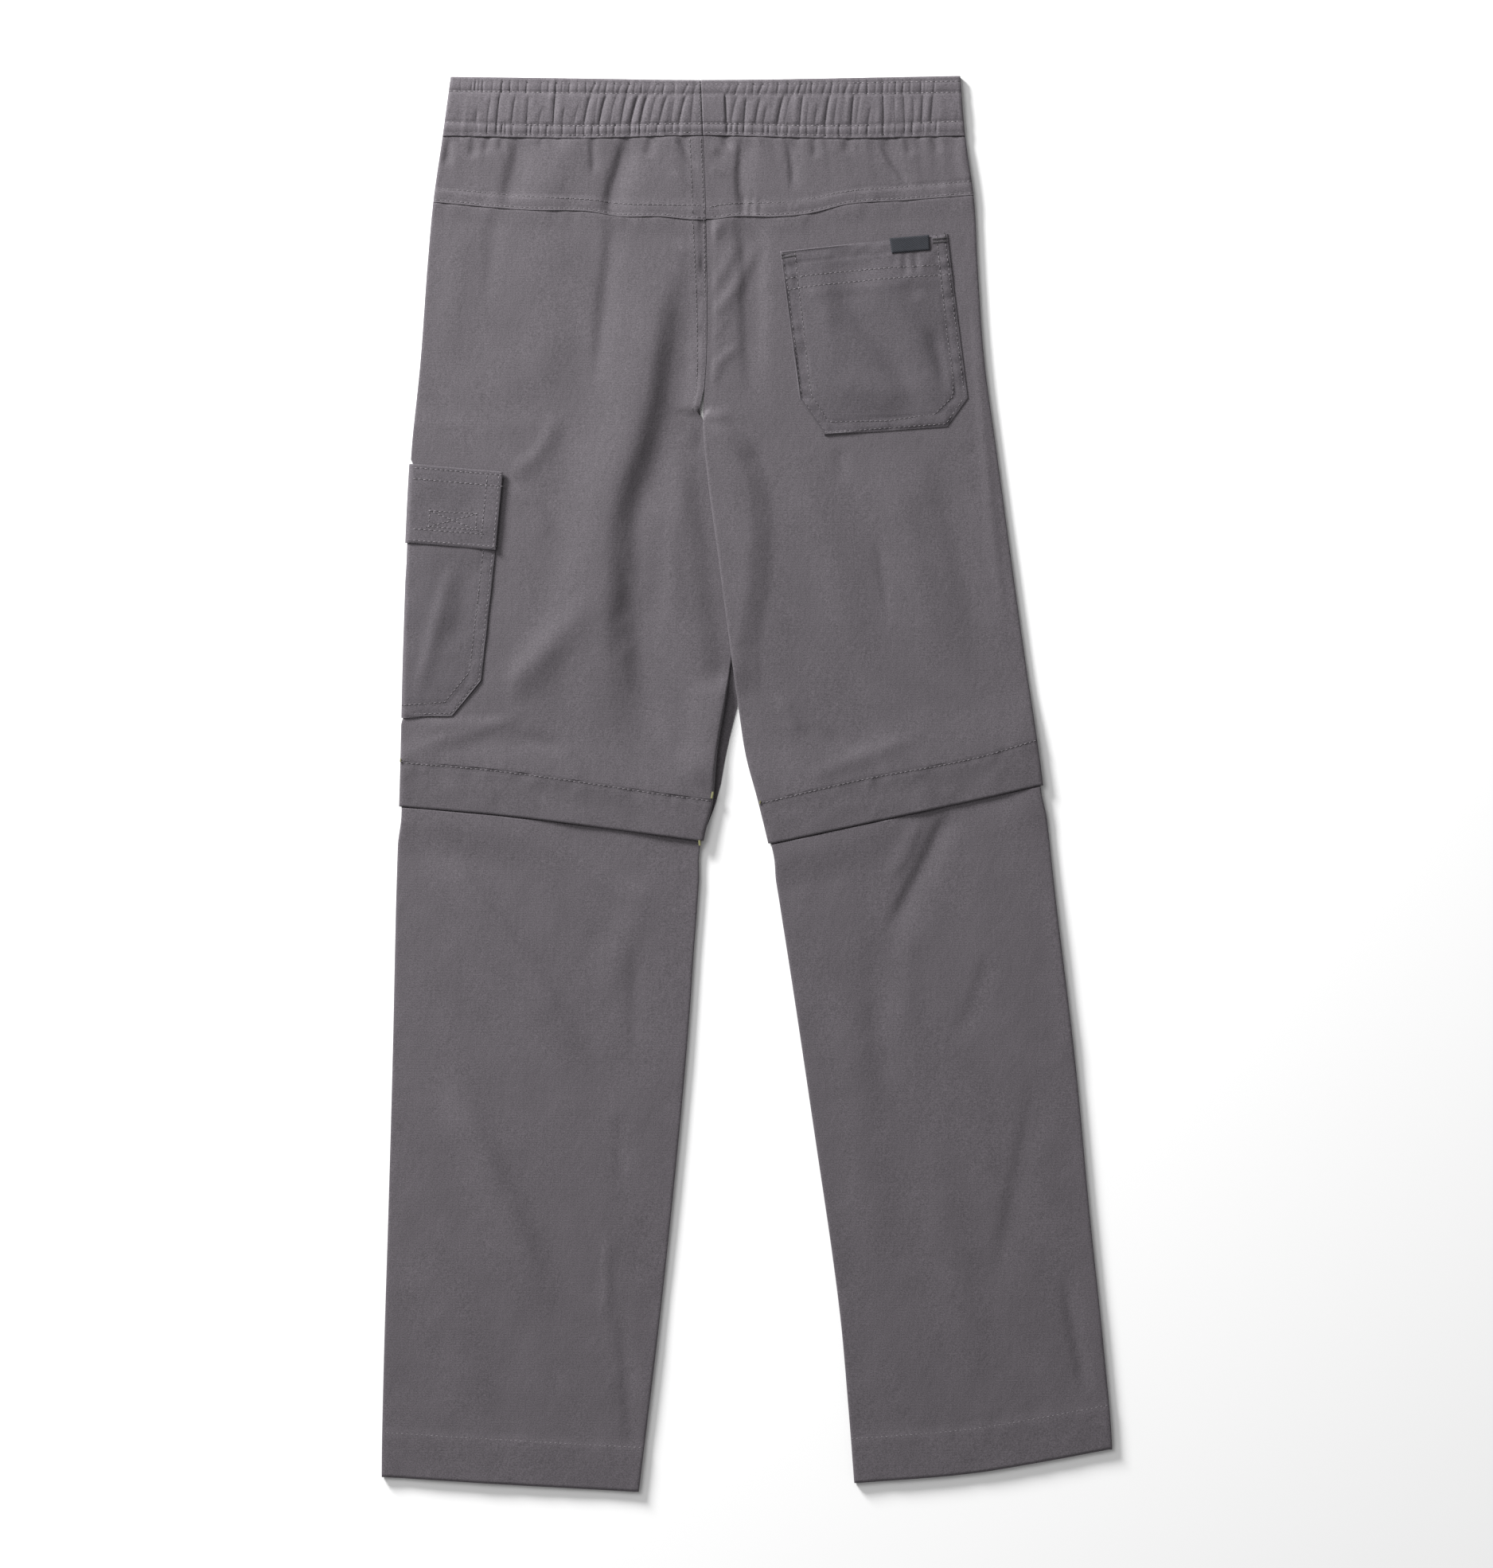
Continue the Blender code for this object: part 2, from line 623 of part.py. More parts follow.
def build_thighs():
    """Yokes, back panels and front panels from the waistband to the knee seam."""
    for side in ("left", "right"):
        inside = left_inside if side == "left" else right_inside
        tube = Tube(side, upper_under, yoke_top, no_inset, seat_curl(side), WALL)
        rows = between(shifted(waist_seam, -HALF_GAP), shifted(yoke_seam, HALF_GAP), YOKE_SHARES)
        back_sheet("yoke_back_" + side, tube, side_counts(side, UPPER_COLUMNS), side_knots(side), rows,
                   len(YOKE_SHARES) - 1, GREY)

        tube = Tube(side, upper_under, upper_top, upper_inset, seat_curl(side), WALL)
        knee = shifted(knee_seam[side], HALF_GAP)
        top = shifted(yoke_seam, -HALF_GAP)
        shares = level_shares(UPPER_LEVELS, top, knee, inside)
        back_sheet("back_upper_" + side, tube, side_counts(side, UPPER_COLUMNS), side_knots(side),
                   between(top, knee, shares), len(shares) - 1, GREY)

        top = shifted(waist_seam, -HALF_GAP)
        shares = level_shares(FRONT_EXTRA_LEVELS + UPPER_LEVELS, top, knee, inside)
        if side == "left":
            knots = lambda y: [outer_left(y) + 110, tuck_line(y)]
            counts = [8, 2, 1]
        else:
            knots = lambda y: [lift_line(y), lift_line(y) + 14]
            counts = [1, 1, 4]
        front_sheet("front_upper_" + side, tube, knots, counts, between(top, knee, shares), len(shares) - 1,
                    WALL, GREY_DEEP)


def build_lower_legs():
    """The legs that zip off, from under the storm flap to the hem."""
    for side in ("left", "right"):
        tube = Tube(side, lower_under, lower_top, lower_inset, both_curl, WALL)
        top = shifted(knee_seam[side], -14.0)
        no_knots = lambda y: []
        back_sheet("lower_back_" + side, tube, [LOWER_COLUMNS], no_knots, between(top, hem[side], LOWER_SHARES),
                   len(LOWER_SHARES) - 1, GREY_DEEP)
        front_sheet("lower_front_" + side, tube, no_knots, [4], between(top, hem[side], LOWER_SHARES),
                    len(LOWER_SHARES) - 1, WALL, GREY_DEEP)


def build_knees():
    """Storm flaps round each leg, and the zip under them."""
    for side in ("left", "right"):
        tube = Tube(side, flat_under, flap_top, no_inset, both_curl, FLAP_WALL)
        top = shifted(knee_seam[side], -HALF_GAP)
        no_knots = lambda y: []
        back_sheet("knee_flap_back_" + side, tube, [UPPER_COLUMNS], no_knots,
                   between(top, flap_edge[side], FLAP_SHARES), len(FLAP_SHARES) - 1, GREY_DEEP)
        front_sheet("knee_flap_front_" + side, tube, no_knots, [6],
                    between(top, flap_edge[side], FLAP_SHARES), len(FLAP_SHARES) - 1, FLAP_WALL, GREY_DEEP)

        outer_room = 15.0
        inner_room = 6.0
        tape_line = between(shifted(knee_seam[side], 3.0), shifted(knee_seam[side], -13.7), (0.0, 1.0))

        def tape_point(column, row, side=side, level=0.0):
            def across(y):
                left, right = edges(side, y)
                if side == "left":
                    return mix(left + outer_room, right - inner_room, column / 6)
                return mix(left + inner_room, right - outer_room, column / 6)

            x, y = settle(across, lambda x: tape_line(x, row), tape_line(0.0, row))
            return (x, y, level + WALL), (x, y, level)

        front_level = FLAP_WALL + GAP
        back_level = front_level + LAYER
        make_sheet("zip_tape_front_" + side, 6, 1,
                   lambda c, r, side=side: tape_point(c, r, side, front_level), ZIP_GREY)
        make_sheet("zip_tape_back_" + side, 6, 1,
                   lambda c, r, side=side: tape_point(c, r, side, back_level), ZIP_GREY)
        build_slider(side, back_level + WALL)


def build_slider(side, top):
    """A plain slider with its pull, at the outer end of the zip."""
    y_knee = knee_seam[side](-218.0 if side == "left" else 182.0)
    left, right = edges(side, y_knee - 6)
    x_middle = left + 9.5 if side == "left" else right - 9.5
    body, pull = 3.6, 2.0
    shape = ((6.0, pull), (-1.0, pull), (-1.6, body), (-9.0, body), (-11.0, body * 0.6))

    def place_at(column, row):
        drop, half = shape[row]
        x = x_middle + (column - 1) * half
        y = y_knee + drop
        thick = 1.0 if row < 2 else 2.0
        return (x, y, top), (x, y, top - thick)

    make_sheet("zip_slider_" + side, 2, len(shape) - 1, place_at, METAL, 0.4, 0.9)


def build_back_pocket():
    """The patch pocket on the right seat, with the folds of the cloth in its outer face."""
    sides = {field: polyline([(row.share, getattr(row, field)) for row in BACK_POCKET])
             for field in ("xl", "yl", "xr", "yr")}
    shares = (0.0, 0.13, 0.26, 0.4, 0.53, 0.66, 0.8, 0.9, 1.0)
    columns = 8
    base = SHEET_TOP + GAP

    def place_at(column, row):
        share = shares[row]
        x = mix(sides["xl"](share), sides["xr"](share), column / columns)
        y = mix(sides["yl"](share), sides["yr"](share), column / columns)
        middle = window(share, 0.36, 0.8, 0.1) * window(column / columns, 0.2, 0.8, 0.2)
        along = (x - 50) * 0.747 + (y - 322) * -0.665
        across = (x - 50) * 0.665 + (y - 322) * 0.747
        fold = 0.9 * math.exp(-(((across - 12) / 12) ** 2)) if along > 0 else 0.0
        hem_lip = 0.3 * (1 - ramp(share, 0.24, 0.3))
        return (x, y, base + WALL + hem_lip + fold * middle), (x, y, base)

    make_sheet("back_pocket", columns, len(shares) - 1, place_at, GREY_DEEP)

    def label_at(column, row):
        corner = LABEL[row * 2 + column]
        level = base + WALL + 0.3 + GAP
        return (corner.x, corner.y, level + 0.8), (corner.x, corner.y, level)

    make_sheet("pocket_label", 1, 1, label_at, SLATE)


def build_cargo():
    """The pocket and flap that wrap the outer side of the left thigh."""
    for name, table, level, rows, wall in (
        ("cargo_pocket", CARGO_POCKET, 1, (0.0, 0.12, 0.24, 0.3, 0.42, 0.55, 0.7, 0.84, 0.92, 1.0), WALL),
        ("cargo_flap", CARGO_FLAP, 2, (0.0, 0.2, 0.5, 0.8, 1.0), WALL),
    ):
        side_y = polyline([(row.share, row.y_side) for row in table])
        end_x = polyline([(row.share, row.x_end) for row in table])
        end_y = polyline([(row.share, row.y_end) for row in table])
        flat = 5
        curl = 2 * CURL_STEPS

        def place_at(column, row):
            share = rows[row]
            y_side = side_y(share)
            flap_share = window(y_side, CARGO_FLAP[-1].y_end - 8, CARGO_FLAP[0].y_side + 8, 14)
            under = LAYER * flap_share if level == 1 else 0.0
            top = CARGO_TOP + GAP + wall + LAYER * (level - 1)
            radius = (top - under) / 2
            start = outer_left(y_side) + under + radius
            if column <= flat or column >= flat + curl:
                away = 1 - column / flat if column <= flat else (column - flat - curl) / flat
                x = mix(start, end_x(share), away)
                y = mix(y_side, end_y(share), away)
                if column <= flat:
                    return (x, y, top), (x, y, top - wall)
                return (x, y, under), (x, y, under + wall)
            angle = math.pi * (column - flat) / curl
            out = (start - radius * math.sin(angle), top - radius + radius * math.cos(angle))
            inner = (out[0] + wall * math.sin(angle), out[1] - wall * math.cos(angle))
            return (out[0], y_side, out[1]), (inner[0], y_side, inner[1])

        make_sheet(name, 2 * flat + curl, len(rows) - 1, place_at, GREY)


for old in list(bpy.data.objects):
    bpy.data.objects.remove(old)
parts = bpy.data.collections.new("zip_off_trousers")
bpy.context.scene.collection.children.link(parts)
build_waistband()
build_thighs()
build_lower_legs()
build_knees()
build_back_pocket()
build_cargo()
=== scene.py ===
import math

import bpy
import numpy as np
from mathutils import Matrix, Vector


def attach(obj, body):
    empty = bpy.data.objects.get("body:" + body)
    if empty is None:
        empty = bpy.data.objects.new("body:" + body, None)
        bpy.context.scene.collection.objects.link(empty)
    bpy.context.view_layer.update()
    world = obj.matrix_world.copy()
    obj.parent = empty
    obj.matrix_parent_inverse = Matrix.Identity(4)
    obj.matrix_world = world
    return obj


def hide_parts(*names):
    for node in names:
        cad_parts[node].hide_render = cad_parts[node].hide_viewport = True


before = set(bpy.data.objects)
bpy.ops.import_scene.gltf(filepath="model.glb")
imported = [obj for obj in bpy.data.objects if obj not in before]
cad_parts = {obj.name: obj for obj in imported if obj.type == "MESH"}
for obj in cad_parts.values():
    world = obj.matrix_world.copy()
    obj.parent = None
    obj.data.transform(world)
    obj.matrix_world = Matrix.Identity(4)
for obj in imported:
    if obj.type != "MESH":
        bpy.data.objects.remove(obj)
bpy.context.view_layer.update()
print("frame loaded:", len(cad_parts), "nodes")

mm = 0.001  # every size below is in millimetres
photo = {"middle": (938.5, 985.0), "pixel": 0.52}  # its middle in pixels, and the size of a pixel
wavePeriod = 0.314  # metres between the bands of a wave texture whose scale is 1

garment = {
    "wall": 1.0,
    "gap": 0.3,
    "sheetTop": 4.2,
    "yokeTop": 4.3,
    "yokeLip": 0.5,
    "flapTop": 5.9,
    "flapWall": 1.5,
    "cargoTop": 4.9,
    "tuckedTop": 2.3,
    "foldedTop": 3.6,
    "rollAt": 2.5,
    "tapeWall": 0.6,
    "cargoRise": (-143.0, -118.0),
    "crotchY": 238.0,
    "seamEndY": 246.0,
    "crossingY": 78.0,
    "partedY": 56.0,
    "hemDepth": 30.0,
    "hemStep": 0.4,
    "curlSteps": 8,
    # outer edges as (y, x), then the seat seam and inner legs as (y, x)
    "outerLeft": (
        (462.8, -193.7), (424, -199), (382, -205), (341, -208.8), (278, -213.4), (216, -219.4), (91, -224.8),
        (8, -226.8), (-75, -229.4), (-179, -231.7), (-283, -234.6), (-367, -237.2), (-434, -238.7),
        (-463, -238.9),
    ),
    "outerRight": (
        (462.8, 139.6), (424, 142.8), (382, 148.6), (341, 150.8), (278, 155.2), (216, 163.5), (91, 180.6),
        (8, 192.7), (-75, 202), (-179, 214.5), (-283, 224.4), (-367, 233.2), (-434, 238.9), (-463, 238.9),
    ),
    "leftInside": (
        (463, -30.4), (424, -28.8), (369, -26.8), (281, -26.4), (261, -27.6), (238, -28.9), (229, -18.4),
        (205, -4.4), (174, 0.8), (138, -0.3), (107, -5), (81, -10), (54, -13.7), (22, -19), (-3, -21.2),
        (-13, -22.2), (-24, -25), (-37, -28),
        (-96, -33.5), (-159, -38), (-221, -43.4), (-346, -56.4), (-463, -70.5),
    ),
    "rightInside": (
        (463, -30.4), (424, -28.8), (369, -26.8), (281, -26.4), (261, -27.6), (238, -28.9), (204, -26.3),
        (149, -19), (81, -10), (48, -5.4), (19, -1), (-12, 7.2), (-54, 17), (-96, 24), (-221, 42.9),
        (-346, 60.6), (-408, 66.2), (-457, 70),
    ),
    # seams across the garment as (x, y)
    "waistEdge": ((-194, 462.3), (-111, 461.2), (-30, 460.2), (139.6, 462.8)),
    "waistSeam": ((-199, 423.3), (-111, 421.7), (-30, 423.6), (60, 421.6), (143, 423.3)),
    "yokeSeam": (
        (-205, 380.1), (-142, 374.8), (-106, 374.2), (-81, 370.6), (-58, 370.6), (-28, 368.4), (-5, 370.8),
        (16, 370.4), (41, 372.6), (66, 378.6), (104, 381.2), (149, 384.8),
    ),
    "kneeSeam": {
        "left": ((-227, 15.1), (-171, 10.4), (-111, 2.6), (-52, -6.2), (-24, -9.9)),
        "right": ((7.5, -12), (74, 3.6), (150, 18.2), (191, 30.2)),
    },
    "flapEdge": {
        "left": ((-227, -14.6), (-157, -20.8), (-71, -31.7), (-31, -37.2)),
        "right": ((16, -39), (81, -25), (157, -8.8), (193, -0.5)),
    },
    "hem": {
        "left": ((-239, -452.9), (-155, -458.1), (-70.5, -462.8)),
        "right": ((70, -457.1), (146, -450.8), (185, -444.6), (239, -434.6)),
    },
}


def softStep(share):
    share = np.clip(share, 0.0, 1.0)
    return share * share * (3 - 2 * share)


def ramp(value, start, end):
    return softStep((value - start) / (end - start))


def band(value, low, high, soft):
    return ramp(value, low - soft, low) * (1 - ramp(value, high, high + soft))


def mix(first, second, share):
    return first + (second - first) * share


def hump(distance, width):
    return np.exp(-((distance / width) ** 2))


def grid(*parts):
    return np.stack(np.broadcast_arrays(*parts), -1)


def slab(x, y, top, base):
    # the outer and inner face of a plain sheet, and its place on the flat cut
    return grid(x, y, top), grid(x, y, base), grid(x, y)


def softCurve(rows):
    rows = sorted(rows)
    places = np.array([row[0] for row in rows], float)
    values = np.array([row[1] for row in rows], float)
    steps = np.diff(values) / np.diff(places)
    slopes = np.concatenate([steps[:1], (steps[:-1] + steps[1:]) / 2, steps[-1:]])

    def valueAt(place):
        place = np.asarray(place, float)
        i = np.clip(np.searchsorted(places, place, side="right") - 1, 0, len(places) - 2)
        span = places[i + 1] - places[i]
        t = (place - places[i]) / span
        inside = (values[i] * (1 + 2 * t) * (1 - t) ** 2 + slopes[i] * span * t * (1 - t) ** 2
                  + values[i + 1] * t * t * (3 - 2 * t) + slopes[i + 1] * span * t * t * (t - 1))
        below = values[0] + (place - places[0]) * slopes[0]
        above = values[-1] + (place - places[-1]) * slopes[-1]
        return np.where(place < places[0], below, np.where(place > places[-1], above, inside))

    return valueAt


def between(first, second):
    return lambda x, share: mix(first(x), second(x), share)


def shifted(line, amount):
    return lambda x: line(x) + amount


outerLeft, outerRight, leftInside, rightInside, waistEdge, waistSeam, yokeSeam = (
    softCurve(garment[name]) for name in (
        "outerLeft", "outerRight", "leftInside", "rightInside", "waistEdge", "waistSeam", "yokeSeam"))
kneeSeam, flapEdge, hem = ({side: softCurve(rows) for side, rows in garment[name].items()}
                           for name in ("kneeSeam", "flapEdge", "hem"))
halfGap = garment["gap"] / 2
layer = garment["wall"] + garment["gap"]


def legEdges(side, y):
    if side == "left":
        return outerLeft(y), leftInside(y) - halfGap
    return rightInside(y) + halfGap, outerRight(y)


def innerCurl(y):
    return 1 - ramp(y, garment["crotchY"], garment["seamEndY"])


def tuckLine(y):
    return np.minimum(leftInside(y), rightInside(y)) - 4 - 6 * (1 - innerCurl(y))


def thighsCross(y, parted):
    # 1 where the right thigh lies on the left one, from the crotch down to their parting
    low = ramp(y, parted, garment["crossingY"])
    return (1 - ramp(y, garment["crotchY"] + 2, garment["seamEndY"])) * low


def crotchLift(x, y):
    line = np.maximum(leftInside(y) + 2, rightInside(y) + garment["foldedTop"] / 2 + garment["gap"] + 3)
    across = 1 - np.clip((x - line) / 14, 0, 1)
    return (garment["tuckedTop"] + garment["gap"]) * thighsCross(y, garment["partedY"]) * across


def tuckedTop(y):
    return mix(garment["sheetTop"] - 0.4, garment["tuckedTop"], thighsCross(y, garment["partedY"] - 12))


# soft lattice noise from one fixed table, for crinkles too small to list one by one
lattice = np.random.default_rng(11).random((97, 97)) * 2 - 1


def cloudy(x, y, size, shift=0.0):
    u, v = np.asarray(x, float) / size + shift, np.asarray(y, float) / size + shift * 1.7
    u, v = np.broadcast_arrays(u, v)
    i, j = np.floor(u).astype(int), np.floor(v).astype(int)
    a, b = softStep(u - i), softStep(v - j)
    low = mix(lattice[i % 97, j % 97], lattice[(i + 1) % 97, j % 97], a)
    high = mix(lattice[i % 97, (j + 1) % 97], lattice[(i + 1) % 97, (j + 1) % 97], a)
    return mix(low, high, b)


def rounded(path, times=2):
    points = [Vector(point) for point in path]
    for _ in range(times if len(points) > 2 else 0):
        cut = [points[0]]
        for first, second in zip(points, points[1:]):
            cut += [first.lerp(second, 0.25), first.lerp(second, 0.75)]
        points = cut + [points[-1]]
    return np.array([tuple(point) for point in points], float)


def creases(strokes, x, y):
    # each stroke: its path, its width on the left and on the right of the path, and its height
    total = np.zeros(np.broadcast(x, y).shape)
    for path, leftWidth, rightWidth, height in strokes:
        points = rounded(path)
        runs = np.diff(points, axis=0)
        lengths = np.hypot(runs[:, 0], runs[:, 1])
        whole, passed = lengths.sum(), 0.0
        nearest = np.full(total.shape, 1e9)
        away, along = np.zeros(total.shape), np.zeros(total.shape)
        for (px, py), (rx, ry), length in zip(points, runs, lengths):
            t = np.clip(((x - px) * rx + (y - py) * ry) / length ** 2, 0, 1)
            dx, dy = x - px - rx * t, y - py - ry * t
            distance = np.hypot(dx, dy)
            near = distance < nearest
            nearest = np.where(near, distance, nearest)
            away = np.where(near, distance * np.sign(rx * dy - ry * dx), away)
            along = np.where(near, (passed + t * length) / whole, along)
            passed += length
        fade = softStep(along / 0.3) * softStep((1 - along) / 0.3)
        width = np.where(away > 0, leftWidth, rightWidth)
        total += height * fade * hump(away, width)
    return total


def puckers(away, along, height, pitch, spread, shift):
    # small folds across a row of stitches, which pulls the cloth up between them
    lean = along + away * 0.25
    return height * cloudy(lean, 0.0, pitch, shift) * hump(away, spread)


def seamDip(distance, depth, width):
    return -depth * (1 - softStep(distance / width))


def steppedShares(length, step, fine=(0.35, 0.9, 1.7)):
    inner = np.linspace(0, 1, max(int(round(length / step)), 2) + 1)
    near = np.array(fine) / length
    inner = inner[(inner > near[-1] * 1.4) & (inner < 1 - near[-1] * 1.4)]
    return np.concatenate([[0.0], near, inner, (1 - near)[::-1], [1.0]])


def addObject(name, data):
    thing = bpy.data.objects.new(name, data)
    bpy.context.scene.collection.objects.link(thing)
    return thing


def clothShell(name, outer, inner, cloth, material, slot):
    # a closed thin shell from the grids of its two faces; cloth is the grid's place on the flat cut
    rows, columns = outer.shape[:2]
    index = np.arange(rows * columns).reshape(rows, columns)
    faces = np.stack([index[:-1, :-1], index[1:, :-1], index[1:, 1:], index[:-1, 1:]], -1).reshape(-1, 4)
    under = faces[:, ::-1] + rows * columns
    ring = np.concatenate([index[0, :], index[1:, -1], index[-1, -2::-1], index[-2:0:-1, 0]])
    following = np.roll(ring, -1)
    rim = np.stack([ring, following, following + rows * columns, ring + rows * columns], -1)
    places = np.concatenate([outer.reshape(-1, 3), inner.reshape(-1, 3)]) * mm
    mesh = bpy.data.meshes.new(name)
    mesh.from_pydata(places.tolist(), [], np.concatenate([faces, under, rim]).tolist())
    corners = np.zeros(len(mesh.loops), int)
    mesh.loops.foreach_get("vertex_index", corners)
    flat = np.concatenate([cloth.reshape(-1, 2)] * 2) * mm
    mesh.uv_layers.new(name="cloth").data.foreach_set("uv", flat[corners].ravel())
    mesh.shade_smooth()
    mesh.set_sharp_from_angle(angle=math.radians(50))
    mesh.materials.append(material)
    piece = addObject(name, mesh)
    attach(piece, "root")
    return piece


def sew(node, grids, slot, **said):
    # makes the cloth that takes the place of a solid
    words = node.replace("waistband", "waist").split("_")
    piece = clothShell(words[0] + "".join(word.title() for word in words[1:]), *grids, clothOf[slot], slot)
    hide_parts(node)


def reach(curl, radius):
    tight = np.maximum(curl, 0.01)
    opening = np.where(tight < 0.5, np.sin(np.pi * tight) * radius / tight, radius / tight)
    return np.where(curl < 0.01, np.pi * radius, opening)


def curlPoint(curl, radius, wall, share):
    length = np.pi * radius * share
    bend = np.maximum(curl, 0.01) / radius
    angle = length * bend
    drop = (1 - np.cos(np.pi * np.maximum(curl, 0.01))) / bend
    squeeze = np.minimum(1.0, 2 * radius / np.maximum(drop, 1e-6))
    beside = np.where(curl < 0.01, length, np.sin(angle) / bend)
    below = np.where(curl < 0.01, 0.0, -(1 - np.cos(angle)) / bend * squeeze)
    angle = np.where(curl < 0.01, 0.0, angle)
    # a pressed edge is squarer than a half circle
    pressed = ramp(curl, 0.6, 1.0)
    across = np.abs(np.sin(angle)) ** 0.5
    down = np.sign(np.cos(angle)) * np.abs(np.cos(angle)) ** 0.5
    beside = mix(beside, radius * across, pressed)
    below = mix(below, radius * (down - 1), pressed)
    innerBeside = mix(beside - wall * np.sin(angle), (radius - wall) * across, pressed)
    innerBelow = mix(below - wall * np.cos(angle), (radius - wall) * down - radius, pressed)
    return beside, below, innerBeside, innerBelow


def settled(rowAt, share, across, xAt):
    # seams slant, so the x and y of each grid point are worked out in turn until they agree
    y = rowAt(np.zeros_like(share), share) + np.zeros(across.shape)
    for _ in range(8):
        x = xAt(y)
        y = rowAt(x, share)
    return x, y


def tubeOf(side, form, top, **more):
    # a leg's tube: its plain form, its folded top, what it lies on, its drawn-in edges and its edges' curl
    return {"side": side, "form": form, "top": top, "under": lambda side, x, y: 0.0, "wall": garment["wall"],
            "inset": lambda side, y: (0.0, 0.0), "curls": lambda y: (1.0, 1.0), **more}


def tubeEnds(tube, y):
    # the leg's edges, the heights and radii of their rolls, and how far each is curled
    side = tube["side"]
    left, right = legEdges(side, y)
    drawLeft, drawRight = tube["inset"](side, y)
    left, right = left + drawLeft, right - drawRight
    unders, radii = [], []
    for x in (left + garment["rollAt"], right - garment["rollAt"]):
        unders.append(tube["under"](side, x, y))
        radii.append((tube["form"](side, x, y) - unders[-1]) / 2)
    return (left, right), unders, radii, tube["curls"](y)


def backSheet(tube, rowAt, shares, step):
    # the upper cloth of a leg: flat across the top, with long edges that roll down to the front cloth
    side, steps = tube["side"], garment["curlSteps"]
    flat = int(round(tube["width"] / step))
    column = np.arange(flat + 2 * steps + 1)[None, :]
    across = np.clip((column - steps) / flat, 0, 1)

    def flatEnds(y):
        (left, right), _, radii, curls = tubeEnds(tube, y)
        return left + reach(curls[0], radii[0]), right - reach(curls[1], radii[1])

    _, y = settled(rowAt, shares[:, None], across, lambda y: mix(*flatEnds(y), across))
    _, unders, radii, curls = tubeEnds(tube, y)
    ends = flatEnds(y)
    x = mix(*ends, across)
    wall = tube["wallAt"](side, x, y) if "wallAt" in tube else tube["wall"]
    outer = grid(x, y, tube["top"](side, x, y))
    inner = outer - grid(0.0 * x, 0.0, wall)
    cloth = grid(x, y)
    for at, inward in enumerate((-1, 1)):
        past = inward * (column - steps - flat * at)
        turn = np.clip(past / steps, 0, 1) + np.zeros(x.shape)
        beside, below, innerBeside, innerBelow = curlPoint(curls[at], radii[at], wall, turn)
        top = unders[at] + 2 * radii[at]
        rough = (outer[..., 2] - top) * (1 - softStep(turn * 1.6))
        here = np.broadcast_to(past > 0, x.shape)
        outer[here] = grid(ends[at] + inward * beside, y, top + below + rough)[here]
        inner[here] = grid(ends[at] + inward * innerBeside, y, top + innerBelow + rough)[here]
        cloth[here] = grid(ends[at] + inward * np.pi * radii[at] * turn, y)[here]
    return outer, inner, cloth


def frontSheet(tube, rowAt, shares, step):
    # the lower cloth of a leg, flat on the floor with small folds raised off it
    side = tube["side"]
    across = steppedShares(tube["width"], step)[None, :]
    # past the leg's inner edge the front cloth may run out as a thinner strip of dark cloth that stands in
    # for shadow on the floor: painted shadow
    showing = tube.get("showing", lambda y: 0.0 * y)

    def ends(y):
        (left, right), _, radii, curls = tubeEnds(tube, y)
        room = [(radius + garment["gap"]) * np.minimum(1.0, 3 * curl) for radius, curl in zip(radii, curls)]
        return left + room[0], right - room[1]

    def xAt(y):
        start, end = ends(y)
        return mix(start, end + showing(y), across)

    x, y = settled(rowAt, shares[:, None], across, xAt)
    end, shown = ends(y)[1], np.minimum(showing(y), 1)
    folds = np.maximum(flatLift(side, x, y), 0) * (1 - ramp(x, end - 15, end - 3) * shown)
    base = tube["under"](side, x, y) + folds
    wall = tube["wall"] - 0.6 * ramp(x, end - 3, end) * shown
    return slab(x, y, base + wall, base)


# folds of the hidden front cloth, raised off the floor, from the waist to the hem
frontCreases = {
    "left": (
        (((-150, 420), (-160, 370), (-158, 310)), 8, 12, 0.9),
        (((-90, 415), (-84, 350), (-92, 280)), 6, 9, 0.8),
        (((-60, 410), (-66, 372), (-62, 330)), 4, 6, 0.7),
        (((-40, 270), (-74, 236), (-120, 214)), 7, 9, 0.9),
        (((-28, 200), (-66, 178), (-104, 166)), 6, 8, 0.8),
        (((-110, 130), (-104, 84), (-120, 34)), 9, 12, 0.9),
        (((-60, 110), (-54, 70), (-66, 24)), 6, 8, 0.6),
        (((-200, -60), (-176, -110), (-140, -170)), 9, 13, 0.9),
        (((-90, -120), (-98, -190), (-92, -260)), 8, 10, 0.7),
        (((-190, -250), (-170, -320), (-150, -400)), 10, 14, 0.9),
        (((-90, -330), (-100, -390), (-96, -440)), 6, 9, 0.6),
    ),
    "right": (
        (((104, 420), (116, 368), (112, 300)), 8, 12, 0.9),
        (((40, 415), (30, 356), (38, 290)), 6, 9, 0.8),
        (((6, 410), (12, 370), (8, 326)), 4, 6, 0.7),
        (((0, 262), (34, 232), (84, 212)), 7, 9, 0.9),
        (((-6, 196), (30, 176), (72, 160)), 6, 8, 0.8),
        (((92, 150), (100, 96), (118, 44)), 9, 12, 0.9),
        (((30, 110), (44, 74), (46, 30)), 6, 8, 0.6),
        (((160, -50), (140, -104), (112, -160)), 9, 13, 0.9),
        (((74, -110), (88, -190), (96, -270)), 8, 10, 0.7),
        (((200, -220), (188, -300), (182, -380)), 10, 14, 0.9),
        (((100, -320), (112, -380), (120, -430)), 6, 9, 0.6),
    ),
}


def flatLift(side, x, y):
    folds = creases(frontCreases[side], x, y)
    folds = folds + 0.3 * np.maximum(cloudy(x, y, 34.0, 3.1), 0)
    return folds + 0.2 * np.maximum(cloudy(x, y * 0.4, 12.0, 8.4), 0)


